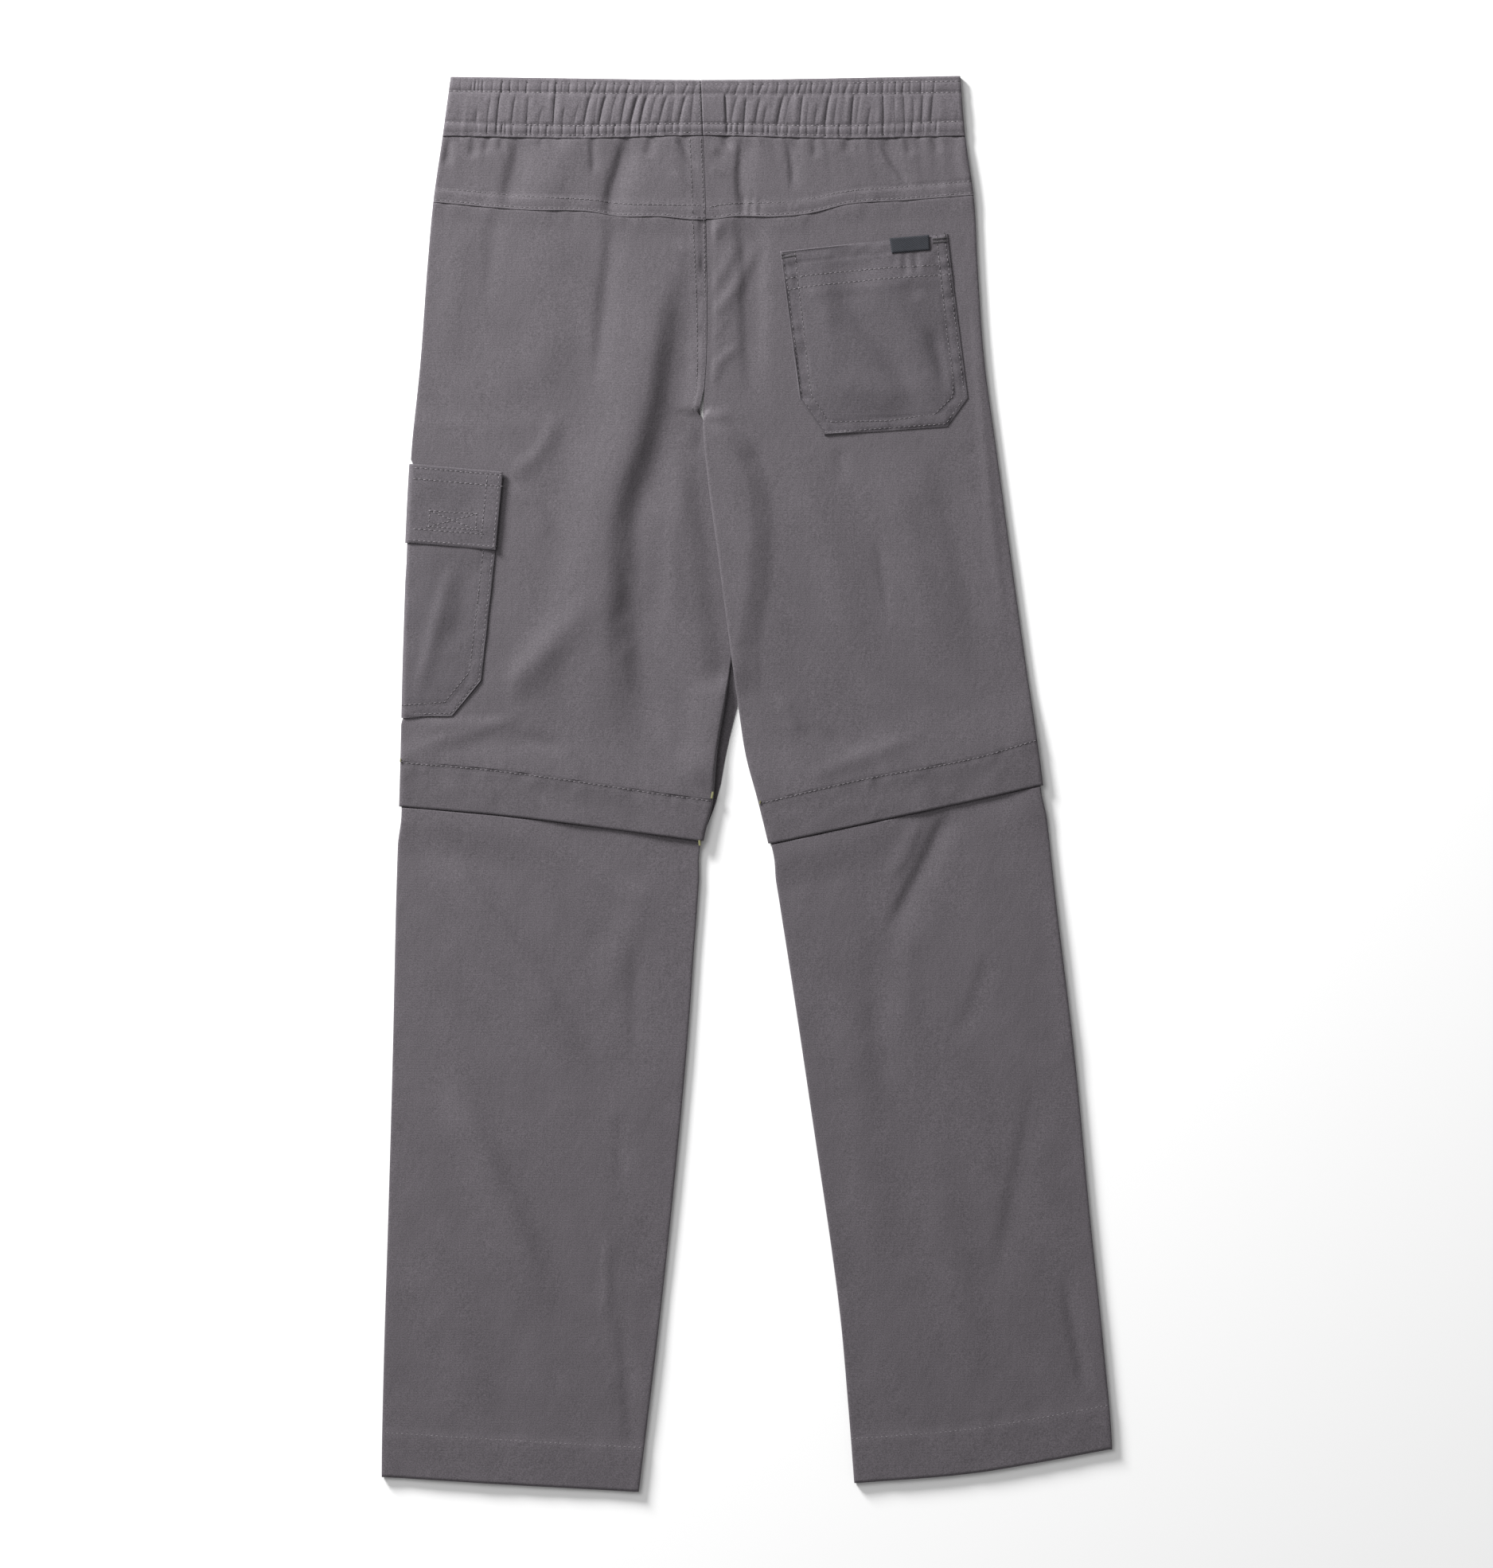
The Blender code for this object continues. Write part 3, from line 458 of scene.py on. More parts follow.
def wire(node, **values):
    # each value is a socket that leads an input, an input's value or a setting of the node itself
    for name, value in values.items():
        if isinstance(value, bpy.types.NodeSocket):
            node.id_data.links.new(value, node.inputs[name])
        elif name in node.inputs:
            node.inputs[name].default_value = value
        else:
            setattr(node, name, value)
    return node


def addNode(nodes, kind, **values):
    return wire(nodes.new(kind), **values)


def newMaterial(name, roughness=0.5):
    material = bpy.data.materials.new(name)
    material.use_nodes = True
    nodes = material.node_tree.nodes
    return material, nodes, wire(nodes["Principled BSDF"], Roughness=roughness)


def noise(nodes, cell=None, **values):
    place = addNode(nodes, "ShaderNodeTexCoord").outputs["Object"]
    if cell:
        place = addNode(nodes, "ShaderNodeMapping", Vector=place, Scale=cell).outputs["Vector"]
    return addNode(nodes, "ShaderNodeTexNoise", Vector=place, **values).outputs["Fac"]


def ribs(nodes, degrees, pitch, **values):
    # ribs across the cloth's own flat cut
    cloth = addNode(nodes, "ShaderNodeUVMap", uv_map="cloth").outputs["UV"]
    turned = addNode(nodes, "ShaderNodeMapping", Vector=cloth, Rotation=(0, 0, math.radians(degrees)))
    return addNode(nodes, "ShaderNodeTexWave", Vector=turned.outputs["Vector"], Scale=wavePeriod / pitch,
                   **values).outputs["Fac"]


def tones(nodes, lead, dark, light, low=0.0, high=1.0):
    ramps = addNode(nodes, "ShaderNodeValToRGB", Fac=lead)
    for stop, place, colour in zip(ramps.color_ramp.elements, (low, high), (dark, light)):
        stop.position, stop.color = place, (*colour, 1)
    return ramps.outputs["Color"]


def around(colour, share):
    return [tuple(value * (1 + sign * share) for value in colour) for sign in (-1, 1)]


def bump(nodes, height, strength, depth, **under):
    return addNode(nodes, "ShaderNodeBump", Height=height, Strength=strength, Distance=depth,
                   **under).outputs["Normal"]


def ranged(nodes, value, ends, start=0.0, end=1.0):
    low, high = ends
    return addNode(nodes, "ShaderNodeMapRange", Value=value, **{
        "From Min": start, "From Max": end, "To Min": low, "To Max": high}).outputs["Result"]


nylonLook = {
    "weavePitch": 0.0011,
    "weaveDepth": 0.00003,
    "grainCell": (1350.0, 1600.0, 1400.0),
    "grain": (0.70, 1.30),
    "crinkleCell": (250.0, 130.0, 200.0),
    "crinkleDepth": 0.00038,
    "mottle": 0.06,
    "roughness": (0.62, 0.76),
    "sheen": 0.10,
    # the mauve-grey hue is the cloth's own; each piece's darker or lighter copy of it is painted shade,
    # matching how much light falls on that piece
    "coloursWithPaintedShade": {
        "waist_cloth": (0.0955, 0.0854, 0.0960),
        "thigh_cloth": (0.0857, 0.0764, 0.0859),
        "pocket_cloth": (0.0756, 0.0674, 0.0766),
        "flap_cloth": (0.0782, 0.0696, 0.0784),
        "lower_leg_cloth": (0.0885, 0.0788, 0.0887),
    },
}


def nylonCloth(slot):
    look = nylonLook
    material, nodes, shader = newMaterial("nylon_" + slot)
    weft = ribs(nodes, 0, look["weavePitch"], bands_direction="Y", Distortion=1.2, Detail=2.0,
                **{"Detail Scale": 1.5})
    grain = noise(nodes, look["grainCell"], Scale=1.0, Detail=1.0, Roughness=0.6)
    crinkle = noise(nodes, look["crinkleCell"], Scale=1.0, Detail=4.0, Roughness=0.5, Distortion=0.3)
    blotch = noise(nodes, Scale=38.0, Detail=5.0, Roughness=0.6)
    shade = addNode(nodes, "ShaderNodeMix", data_type="RGBA", blend_type="MULTIPLY", Factor=1.0,
                    A=tones(nodes, blotch, *around(look["coloursWithPaintedShade"][slot], look["mottle"]), 0.3, 0.7),
                    B=ranged(nodes, grain, look["grain"], 0.3, 0.7))
    fine = bump(nodes, weft, 0.6, look["weaveDepth"])
    wire(shader, Roughness=ranged(nodes, blotch, look["roughness"]),
         Normal=bump(nodes, crinkle, 0.6, look["crinkleDepth"], Normal=fine),
         **{"Base Color": shade.outputs["Result"], "Sheen Weight": look["sheen"], "Sheen Roughness": 0.5,
            "Specular IOR Level": 0.3})
    return material


def tapeTwill():
    material, nodes, shader = newMaterial("zip_tape_twill", 0.8)
    weave = ribs(nodes, 62, 0.0009, Distortion=0.3)
    wire(shader, Normal=bump(nodes, weave, 0.6, 0.0001),
         **{"Base Color": tones(nodes, weave, (0.045, 0.044, 0.048), (0.10, 0.098, 0.105))})
    return material


def labelTwill():
    material, nodes, shader = newMaterial("label_twill", 0.75)
    weave = ribs(nodes, -48, 0.0011, Distortion=0.6, Detail=2.0)
    both = addNode(nodes, "ShaderNodeMath", operation="MULTIPLY")
    nodes.id_data.links.new(weave, both.inputs[0])
    nodes.id_data.links.new(noise(nodes, Scale=900.0, Detail=3.0), both.inputs[1])
    wire(shader, Normal=bump(nodes, weave, 0.7, 0.00012), **{"Specular IOR Level": 0.3, "Base Color": tones(
        nodes, both.outputs["Value"], (0.013, 0.014, 0.018), (0.036, 0.039, 0.048), 0.0, 0.6)})
    return material


def threadCloth(name, colour, roughness):
    material, nodes, shader = newMaterial(name, roughness)
    fibres = noise(nodes, Scale=2500.0, Detail=2.0)
    wire(shader, Normal=bump(nodes, fibres, 0.4, 0.00005),
         **{"Base Color": tones(nodes, fibres, *around(colour, 0.25))})
    return material


def sliderMetal():
    material, nodes, shader = newMaterial("sliderMetal")
    scratches = noise(nodes, Scale=700.0, Detail=4.0, Roughness=0.7)
    wire(shader, Metallic=0.9, Roughness=ranged(nodes, scratches, (0.28, 0.5)),
         **{"Base Color": (0.30, 0.30, 0.31, 1)})
    return material


clothOf = {slot: nylonCloth(slot) for slot in nylonLook["coloursWithPaintedShade"]}
clothOf.update(zip_tape=tapeTwill(), label_weave=labelTwill())
# the threads are lighter than the cloth in three grades chosen row by row: partly the thread's own colour,
# partly painted highlight on the raised stitches
threadLook = {
    "bright": threadCloth("threadBrightPaintedHighlight", (0.24, 0.222, 0.236), 0.55),
    "plain": threadCloth("threadPlainPaintedHighlight", (0.142, 0.130, 0.141), 0.6),
    "light": threadCloth("threadLightPaintedHighlight", (0.185, 0.170, 0.184), 0.6),
    "dark": threadCloth("threadDark", (0.045, 0.042, 0.045), 0.7),
    # near-black dashes between the stitches: painted shade in the needle holes
    "hole": threadCloth("needleHoleShade", (0.020, 0.019, 0.020), 0.95),
}
print("materials made")

thighCreases = {
    "left": (
        (((-46, 368), (-54, 330), (-61, 296), (-64, 271), (-67, 247), (-72, 229), (-80, 209), (-88, 190),
          (-93, 168), (-92, 140), (-95, 105), (-91, 72), (-90, 30), (-92, 4)), 12, 26, 3.7),
        (((-30, 362), (-38, 326), (-46, 293), (-49, 271), (-52, 247), (-57, 227), (-62, 209), (-68, 190),
          (-72, 168), (-69, 140), (-72, 105), (-67, 72), (-66, 30), (-68, 4)), 20, 9, -2.3),
        (((-87, 382), (-90, 350), (-94, 318), (-97, 285), (-99, 255)), 8, 3.2, -1.1),
        (((-165, 380), (-168, 343), (-171, 310)), 6, 4, -0.5),
        (((-160, 199), (-148, 207), (-135, 216), (-121, 247)), 4, 6, 1.0),
        (((-159, 196), (-147, 191), (-134, 178), (-128, 158)), 4, 6, 0.8),
        (((-41, 219), (-32, 237)), 2.5, 2.5, 0.7),
        (((-31, 240), (-30.5, 210)), 4, 2, -1.2),
        (((-84, 150), (-76, 122), (-88, 100)), 5, 4, -0.6),
        (((-72, 96), (-84, 78), (-74, 60)), 4, 5, 0.6),
        (((-58, 196), (-66, 150), (-64, 110)), 7, 12, 0.9),
        (((-42, 200), (-50, 150), (-46, 90)), 6, 8, 0.6),
        (((-230, 20), (-190, 30), (-160, 41), (-140, 52)), 5, 5, 0.8),
        (((-222, 28), (-179, 50), (-138, 78), (-105, 116), (-96, 134)), 9, 11, 1.6),
        (((-150, 60), (-125, 100), (-112, 140), (-108, 170)), 10, 14, 0.9),
        (((-20, -8), (-38, 14), (-62, 44)), 7, 5, 1.0),
        (((-158, 32), (-114, 23)), 5, 5, -0.6),
        (((-48, 356), (-36, 345), (-26, 334)), 3.5, 3, 0.8),
        (((-50, 340), (-38, 326), (-27, 318)), 3, 2.5, 0.6),
        (((-46, 318), (-36, 304), (-27, 292)), 3, 3, 0.6),
        (((-42, 290), (-34, 278), (-28, 262)), 3, 3, 0.5),
        (((-126, 376), (-128, 345), (-126, 300), (-120, 260)), 20, 20, 0.7),
        (((-185, 372), (-190, 330), (-196, 270)), 9, 9, 0.5),
        (((-200, 250), (-150, 262), (-120, 290)), 16, 16, 0.6),
    ),
    "right": (
        (((-2, 392), (-5, 366), (0, 341), (-1, 310), (0, 278), (5, 243)), 16, 3.5, -1.4),
        (((-25, 296), (-10, 318), (2, 342), (9, 360)), 4.5, 4, 0.9),
        (((-27, 318), (-14, 336), (-4, 358)), 4, 3.5, 0.7),
        (((-28, 268), (-14, 279), (-4, 288)), 2.5, 2.5, 0.8),
        (((-27, 256), (-14, 277)), 2.0, 1.6, 0.6),
        (((-27, 350), (-15, 369)), 3, 3, 0.8),
        (((-27, 300), (-16, 316), (-6, 326)), 2.2, 1.8, 0.45),
        (((-27, 284), (-16, 300), (-8, 308)), 2.2, 1.8, 0.4),
        (((-26, 240), (-10, 226), (8, 214)), 7, 7, 0.8),
        (((22, 330), (8, 322)), 2.5, 3, 0.5),
        (((25, 305), (10, 294)), 2.5, 3, 0.5),
        (((29, 282), (16, 272)), 2.5, 3, 0.5),
        (((34, 226), (42, 190), (58, 140), (78, 62)), 16, 14, 1.2),
        (((-8, 190), (8, 130), (24, 66)), 16, 18, 0.5),
        (((84, 168), (93, 104)), 4, 3, -0.6),
        (((60, 222), (62, 196)), 5, 4, -0.7),
        (((92, 220), (100, 180), (118, 120), (134, 70)), 12, 14, 1.2),
        (((121, 218), (138, 150), (156, 82)), 14, 8, -1.2),
        (((50, 34), (78, 22)), 6, 6, -0.6),
        (((36, 4), (76, 18), (120, 34)), 5, 5, 0.7),
        (((142, 379), (146, 340), (150, 289), (158, 200), (170, 80)), 2.5, 4, 0.7),
        (((20, 60), (36, 30)), 6, 6, 0.6),
    ),
}


def cargoLevels(y):
    # 1 over the height of the cargo pocket, 2 where its flap lies on it
    pocket = band(y, cargo["pocket"][-1][1] - 11, cargo["pocket"][0][1] + 22, 16)
    flap = band(y, cargo["flap"][-1][3] - 22, cargo["flap"][0][1] + 22, 20)
    return pocket + flap


def cargoSide(x):
    return 1 - ramp(x, *garment["cargoRise"])


def thighUnder(side, x, y):
    if side == "left":
        return layer * cargoLevels(y) * cargoSide(x)
    return crotchLift(x, y)


def pocketCalm(x, y):
    return 1 - band(x, 18, 142, 12) * band(y, 226, 362, 12)


def thighForm(side, x, y):
    aboveKnee = y - kneeSeam[side](x)
    free = ramp(aboveKnee, 20, 60)
    top = mix(garment["flapTop"], garment["sheetTop"], ramp(aboveKnee, 0, 40))
    if side == "left":
        top = mix(top, garment["cargoTop"], cargoSide(x) * np.minimum(cargoLevels(y), 1.0))
        return mix(top, tuckedTop(y), ramp(x, tuckLine(y) - 16, tuckLine(y)) * free)
    folded = mix(garment["sheetTop"], garment["foldedTop"], innerCurl(y) * free)
    edgeShare = 1 - ramp(x, rightInside(y), rightInside(y) + 20)
    return mix(top, folded, edgeShare * free) + crotchLift(x, y)


def thighTop(side, x, y):
    aboveKnee, belowYoke = y - kneeSeam[side](x), yokeSeam(x) - y
    seat = 1 - innerCurl(y)
    folds = creases(thighCreases[side], x, y)
    folds += 0.36 * cloudy(x + 0.3 * y, y * 0.35, 23.0, 1.3) + 0.12 * cloudy(x + 0.4 * y, y * 0.5, 9.0, 5.2)
    if side == "left":
        covered = (1 - ramp(x, -160, -148)) * band(y, 45, 206, 6)
        belowCrotch = 1 - ramp(y, garment["crotchY"] - 30, garment["crotchY"])
        tucked = ramp(x, tuckLine(y) - 12, tuckLine(y)) * belowCrotch
        folds = folds * (1 - 0.85 * covered) * (1 - 0.8 * tucked)
        # the inner edge stands up just below the place where the thighs cross
        upright = ramp(aboveKnee, 0, 25) * (1 - ramp(y, 58, 74))
        folds += 2.2 * upright * ramp(x, leftInside(y) - 30, leftInside(y) - 4)
        folds += seamDip(legEdges(side, y)[1] - x, 0.25, 1.2) * seat
        folds += 0.25 * band(x, leftInside(y) - 9.5, leftInside(y) - 1, 1.5) * seat
        folds += puckers(x - leftInside(y) + 8.5, y, 0.14, 5.5, 4.0, 2.2) * seat
    else:
        folds = folds * pocketCalm(x, y)
        folds += seamDip(x - legEdges(side, y)[0], 0.45, 1.2) * seat
    folds += seamDip(belowYoke, 0.15, 1.2) + puckers(belowYoke, x, 0.3, 6.0, 9.0, 2.8)
    folds += 0.5 * (1 - ramp(belowYoke, 0, 14))
    folds += seamDip(aboveKnee, 0.05, 0.8) + puckers(aboveKnee, x, 0.22, 5.0, 7.0, 6.4)
    return thighForm(side, x, y) + folds


yokeCreases = {
    "left": (
        (((-147, 430), (-150, 410), (-155, 392), (-158, 374)), 11, 4.5, -1.0),
        (((-101.5, 428), (-101, 412), (-101, 396)), 4, 1.6, -0.7),
        (((-76, 430), (-83, 404), (-89, 388), (-90, 362)), 10, 3.8, -1.5),
        (((-118, 426), (-123, 402), (-127, 382)), 9, 9, 0.6),
        (((-200, 426), (-203, 404), (-206, 382)), 2.5, 3, 0.7),
        (((-193, 426), (-198, 402)), 4, 2, -0.7),
        (((-178, 427), (-180, 408)), 4, 2, -0.7),
        (((-169, 427), (-171, 411)), 3.5, 1.8, -0.6),
        (((-160, 427), (-162, 412)), 3, 1.8, -0.5),
        (((-134, 427), (-135, 414)), 3, 1.8, -0.4),
        (((-62, 426), (-66, 408)), 4, 2, -0.5),
        (((-44, 424), (-40, 412), (-34, 402)), 3, 1.8, -0.6),
        (((-50, 402), (-36, 388)), 3, 3, 0.4),
    ),
    "right": (
        (((-2.4, 432), (-3.6, 414), (-5.3, 399), (-4.7, 385), (-3, 366)), 8, 2.2, -1.15),
        (((-16, 428), (-14, 420), (-11, 413)), 3, 2, -0.6),
        (((-12, 426), (-15, 416), (-22, 407)), 4, 2.4, -0.4),
        (((-27, 418), (-18, 414), (-10, 416)), 3, 3, 0.35),
        (((-26, 404), (-18, 400), (-9, 401)), 3, 3, 0.3),
        (((25.7, 424), (29.3, 404), (30, 386)), 4, 1.6, -0.8),
        (((44, 425), (44, 408)), 4, 2, -0.6),
        (((66, 425), (64, 410)), 4, 2, -0.5),
        (((85, 424), (96, 404), (108, 388)), 6, 2, -0.8),
        (((104, 424), (107, 410)), 4, 2, -0.6),
        (((122, 424), (125, 412)), 4, 2, -0.4),
        (((139, 424), (142, 402), (147, 386)), 3, 4, 0.7),
        (((-2, 387), (-3, 370)), 2.5, 1.2, -0.6),
        (((3, 386), (2, 369)), 2.5, 1.2, -0.6),
        (((8, 384), (8, 371)), 2.5, 1.2, -0.5),
    ),
}


def yokeForm(side, x, y):
    share = (waistSeam(x) - y) / (waistSeam(x) - yokeSeam(x))
    return garment["yokeTop"] + garment["yokeLip"] * ramp(share, 0.76, 0.84)


def yokeTop(side, x, y):
    below, above = waistSeam(x) - y, y - yokeSeam(x)
    folds = 1.35 * creases(yokeCreases[side], x, y)
    folds += 0.8 * cloudy(x + 0.12 * y, 0.0, 5.0, 4.4) * np.exp(-below / 12)
    folds += 0.3 * cloudy(x + 0.3 * y, y * 0.4, 15.0, 6.1)
    folds += puckers(above - 7.5, x, 0.25, 7.0, 4.0, 9.3) + puckers(above - 1.5, x, 0.15, 5.0, 2.0, 3.7)
    folds += seamDip(below, 0.2, 1.6) + 0.15 * hump(above - 0.6, 0.6)
    # the two rows of stitches
    folds += -0.3 * hump(above - 9.6, 0.9) - 0.2 * hump(above - 1.9, 0.7)
    if side == "left":
        folds += seamDip(legEdges(side, y)[1] - x, 0.25, 1.2)
        folds += 0.25 * band(x, leftInside(y) - 9.5, leftInside(y) - 1, 1.5)
    else:
        folds += seamDip(x - legEdges(side, y)[0], 0.8, 1.8)
    return yokeForm(side, x, y) + folds


def seatCurl(side):
    # the seat seam joins the sheets flat, and below it each leg's inner edge rolls over
    return (lambda y: (1.0, innerCurl(y))) if side == "left" else (lambda y: (innerCurl(y), 1.0))


def gapShadeCloth(y):
    # the left leg's front cloth runs out past its inner edge, from the thighs' crossing to the knee flap: a
    # strip of dark cloth that stands in for the deep shadow on the floor between the legs, painted shadow
    strip = np.interp(y, (-42, -36, -12, 0, 30, 50, 70), (-1.0, 0.2, 3.0, 5.0, 6.8, 8.0, 12.0))
    narrow = ramp(y, -44, -38) * (1 - ramp(y, garment["crossingY"] - 4, garment["crossingY"] + 8))
    return (np.minimum(rightInside(y) - leftInside(y), strip) + 2.1) * narrow


def thighInset(side, y):
    # the left thigh is drawn in by what the cargo pocket and its flap add at the side
    if side == "right":
        return 0.0, 0.0
    return layer * (band(y, 42.9, 201.8, 3) + band(y, 152.4, 209.4, 2.5)), 0.0


def buildThighs():
    settings = {"width": 172.0, "length": 370.0, "frontLength": 415.0, "yokeLength": 49.0,
                "step": 2.2, "rowStep": 2.4, "frontStep": 5.0, "yokeStep": 1.5, "yokeRowStep": 1.7}
    for side in ("left", "right"):
        tube = tubeOf(side, yokeForm, yokeTop, under=thighUnder, curls=seatCurl(side),
                      width=settings["width"])
        rowAt = between(shifted(waistSeam, -halfGap), shifted(yokeSeam, halfGap))
        shares = steppedShares(settings["yokeLength"], settings["yokeRowStep"])
        grids = backSheet(tube, rowAt, shares, settings["yokeStep"])
        sew("yoke_back_" + side, grids, "thigh_cloth", flat=(0.185, 0.048), held="laid",
            rests_on=["front_upper_" + side, "waistband_back_" + side, "back_upper_" + side])

        tube.update(form=thighForm, top=thighTop, inset=thighInset)
        rowAt = between(shifted(yokeSeam, -halfGap), shifted(kneeSeam[side], 0.03))
        shares = steppedShares(settings["length"], settings["rowStep"])
        grids = backSheet(tube, rowAt, shares, settings["step"])
        sew("back_upper_" + side, grids, "thigh_cloth", flat=(0.202, 0.372), held="laid",
            rests_on=["front_upper_" + side])

        rowAt = between(shifted(waistSeam, -halfGap), shifted(kneeSeam[side], halfGap))
        # the left leg's front cloth carries a strip of dark cloth standing in for the shadow between the
        # legs: painted shadow
        if side == "left":
            tube["showing"] = gapShadeCloth
        shares = steppedShares(settings["frontLength"], settings["frontStep"])
        grids = frontSheet(tube, rowAt, shares, settings["frontStep"])
        sew("front_upper_" + side, grids, "thigh_cloth", flat=(0.200, 0.420), held="laid",
            rests_on=["floor"])


lowerCreases = {
    "left": (
        (((-218, -30), (-195, -52), (-174, -77), (-140, -126), (-100, -192)), 8, 14, 2.4),
        (((-204, -178), (-182, -220), (-164, -261), (-125, -352)), 10, 15, 2.4),
        (((-73, -100), (-74, -140), (-75, -182)), 7, 3.4, -0.6),
        (((-83, -210), (-84, -270)), 7, 3.4, -0.5),
        (((-84, -330), (-78, -400), (-73, -468)), 6, 4, -0.8),
        (((-91, -290), (-92, -356)), 3, 4, 0.7),
        (((-60, -60), (-80, -100), (-96, -150)), 10, 10, 0.8),
        (((-228, -300), (-200, -340), (-170, -420)), 14, 14, 0.8),
        (((-120, -36), (-100, -60), (-60, -80)), 8, 8, 0.6),
    ),
    "right": (
        (((134, -6), (122, -38), (108, -66), (88, -104)), 9, 3.2, -1.6),
        (((116, -16), (106, -44), (92, -66)), 3, 6, 0.8),
        (((80, -92), (84, -150), (93, -216)), 14, 8, -0.9),
        (((104, -90), (105, -130), (104, -172)), 8, 9, 0.6),
        (((161, -105), (149, -140), (135, -172)), 8, 4, -0.6),
        (((192, -180), (178, -250), (160, -336)), 10, 5, -0.8),
        (((206, -314), (214, -361), (224, -406)), 6, 4, -1.2),
        (((120, -220), (132, -300), (150, -400)), 14, 14, 0.9),
        (((60, -120), (76, -240), (92, -330)), 12, 12, 0.7),
        (((200, -60), (206, -120), (214, -200)), 8, 8, 0.6),
    ),
}


def belowFlap(side, x, y):
    # 0 under the storm flap, 1 where the lower leg has come down to its own height
    return ramp(kneeSeam[side](x) - y, 36, 56)


def lowerUnder(side, x, y):
    return (garment["flapWall"] + garment["gap"]) * (1 - belowFlap(side, x, y))


def lowerInset(side, y):
    left, right = legEdges(side, y)
    return lowerUnder(side, left, y), lowerUnder(side, right, y)


def hemShare(side, x, y):
    return 1 - ramp(y - hem[side](x), garment["hemDepth"] - 0.5, garment["hemDepth"] + 1.5)


def lowerForm(side, x, y):
    stack = 2 * (garment["flapWall"] + garment["gap"]) + garment["wall"] / 2
    return mix(stack, garment["sheetTop"], belowFlap(side, x, y)) + garment["hemStep"] * hemShare(side, x, y)


def lowerTop(side, x, y):
    aboveHem, free = y - hem[side](x), flapEdge[side](x) - y
    folds = creases(lowerCreases[side], x, y) * ramp(aboveHem, 20, 44)
    folds += 0.32 * cloudy(x + 0.35 * y, y * 0.3, 26.0, 2.7) + 0.1 * cloudy(x - 0.3 * y, y * 0.5, 10.0, 7.9)
    folds = folds * ramp(free, 0, 14)
    folds += 2.1 * (1 - flapOpen(side, x)) * ramp(free, 0.2, 1.1) * (1 - ramp(free, 6, 34))
    folds += puckers(aboveHem - 29.5, x, 0.32, 7.5, 6.0, 5.5)
    folds += puckers(aboveHem - 1.0, x, 0.15, 9.0, 4.0, 1.1)
    return lowerForm(side, x, y) + folds - 0.3 * hump(aboveHem - 29.2, 0.9) + seamDip(aboveHem, 0.9, 1.4)


def lowerWall(side, x, y):
    return mix(garment["wall"], 2 * garment["wall"], hemShare(side, x, y))


def buildLowerLegs():
    settings = {"width": 176.0, "length": 450.0, "step": 2.3, "rowStep": 2.5, "frontStep": 5.0}
    for side in ("left", "right"):
        tube = tubeOf(side, lowerForm, lowerTop, under=lowerUnder, inset=lowerInset, wallAt=lowerWall,
                      width=settings["width"])
        rowAt = between(shifted(kneeSeam[side], -14.0), hem[side])
        # closer rows below the flap's free edge
        shares = steppedShares(settings["length"], settings["rowStep"])
        shares = np.union1d(shares, np.arange(0.024, 0.048, 0.0012))
        sew("lower_back_" + side, backSheet(tube, rowAt, shares, settings["step"]), "lower_leg_cloth",
            flat=(0.190, 0.470), held="laid", rests_on=["lower_front_" + side])
        shares = steppedShares(settings["length"], settings["frontStep"])
        grids = frontSheet(tube, rowAt, shares, settings["frontStep"])
        sew("lower_front_" + side, grids, "lower_leg_cloth", flat=(0.180, 0.470),
            held="laid", rests_on=["floor"])


def flapOpen(side, x):
    # how far the flap stands off the lower leg along its free edge
    if side == "left":
        return ramp(x, -200, -80)
    return mix(0.25, 1.0, ramp(x, 80, 130)) * (1 - 0.6 * ramp(x, 160, 190))


def flapForm(side, x, y):
    return garment["flapTop"]


def flapTop(side, x, y):
    below, free = kneeSeam[side](x) - y, y - flapEdge[side](x)
    share = below / (below + free)
    folds = 0.6 * flapOpen(side, x) * ramp(share, 0.3, 1.0)
    folds += 0.5 * cloudy(x + 0.3 * y, y * 0.5, 19.0, 3.3) * ramp(share, 0.1, 0.6)
    folds += puckers(below - 2.0, x, 0.3, 5.0, 4.0, 8.8) + 0.2 * cloudy(x, y, 9.0, 2.1)
    folds += seamDip(below, 0.05, 0.6) + seamDip(free, 0.5, 0.7) - 0.2 * hump(below - 1.8, 0.8)
    return garment["flapTop"] + folds


def tapeSheet(side, level):
    # a strip that lies along the knee seam, clear of the rolled edges
    draw = (15.0, 7.0) if side == "left" else (6.0, 15.0)
    across = np.linspace(0, 1, 90)[None, :]

    def xAt(y):
        left, right = legEdges(side, y)
        return mix(left + draw[0], right - draw[1], across)

    line = between(shifted(kneeSeam[side], 3.0), shifted(kneeSeam[side], -13.7))
    x, y = settled(line, np.linspace(0, 1, 9)[:, None], across, xAt)
    base = level + 0.05 * cloudy(x, y, 6.0, 4.1) + 0.05
    return slab(x, y, base + garment["tapeWall"], base)


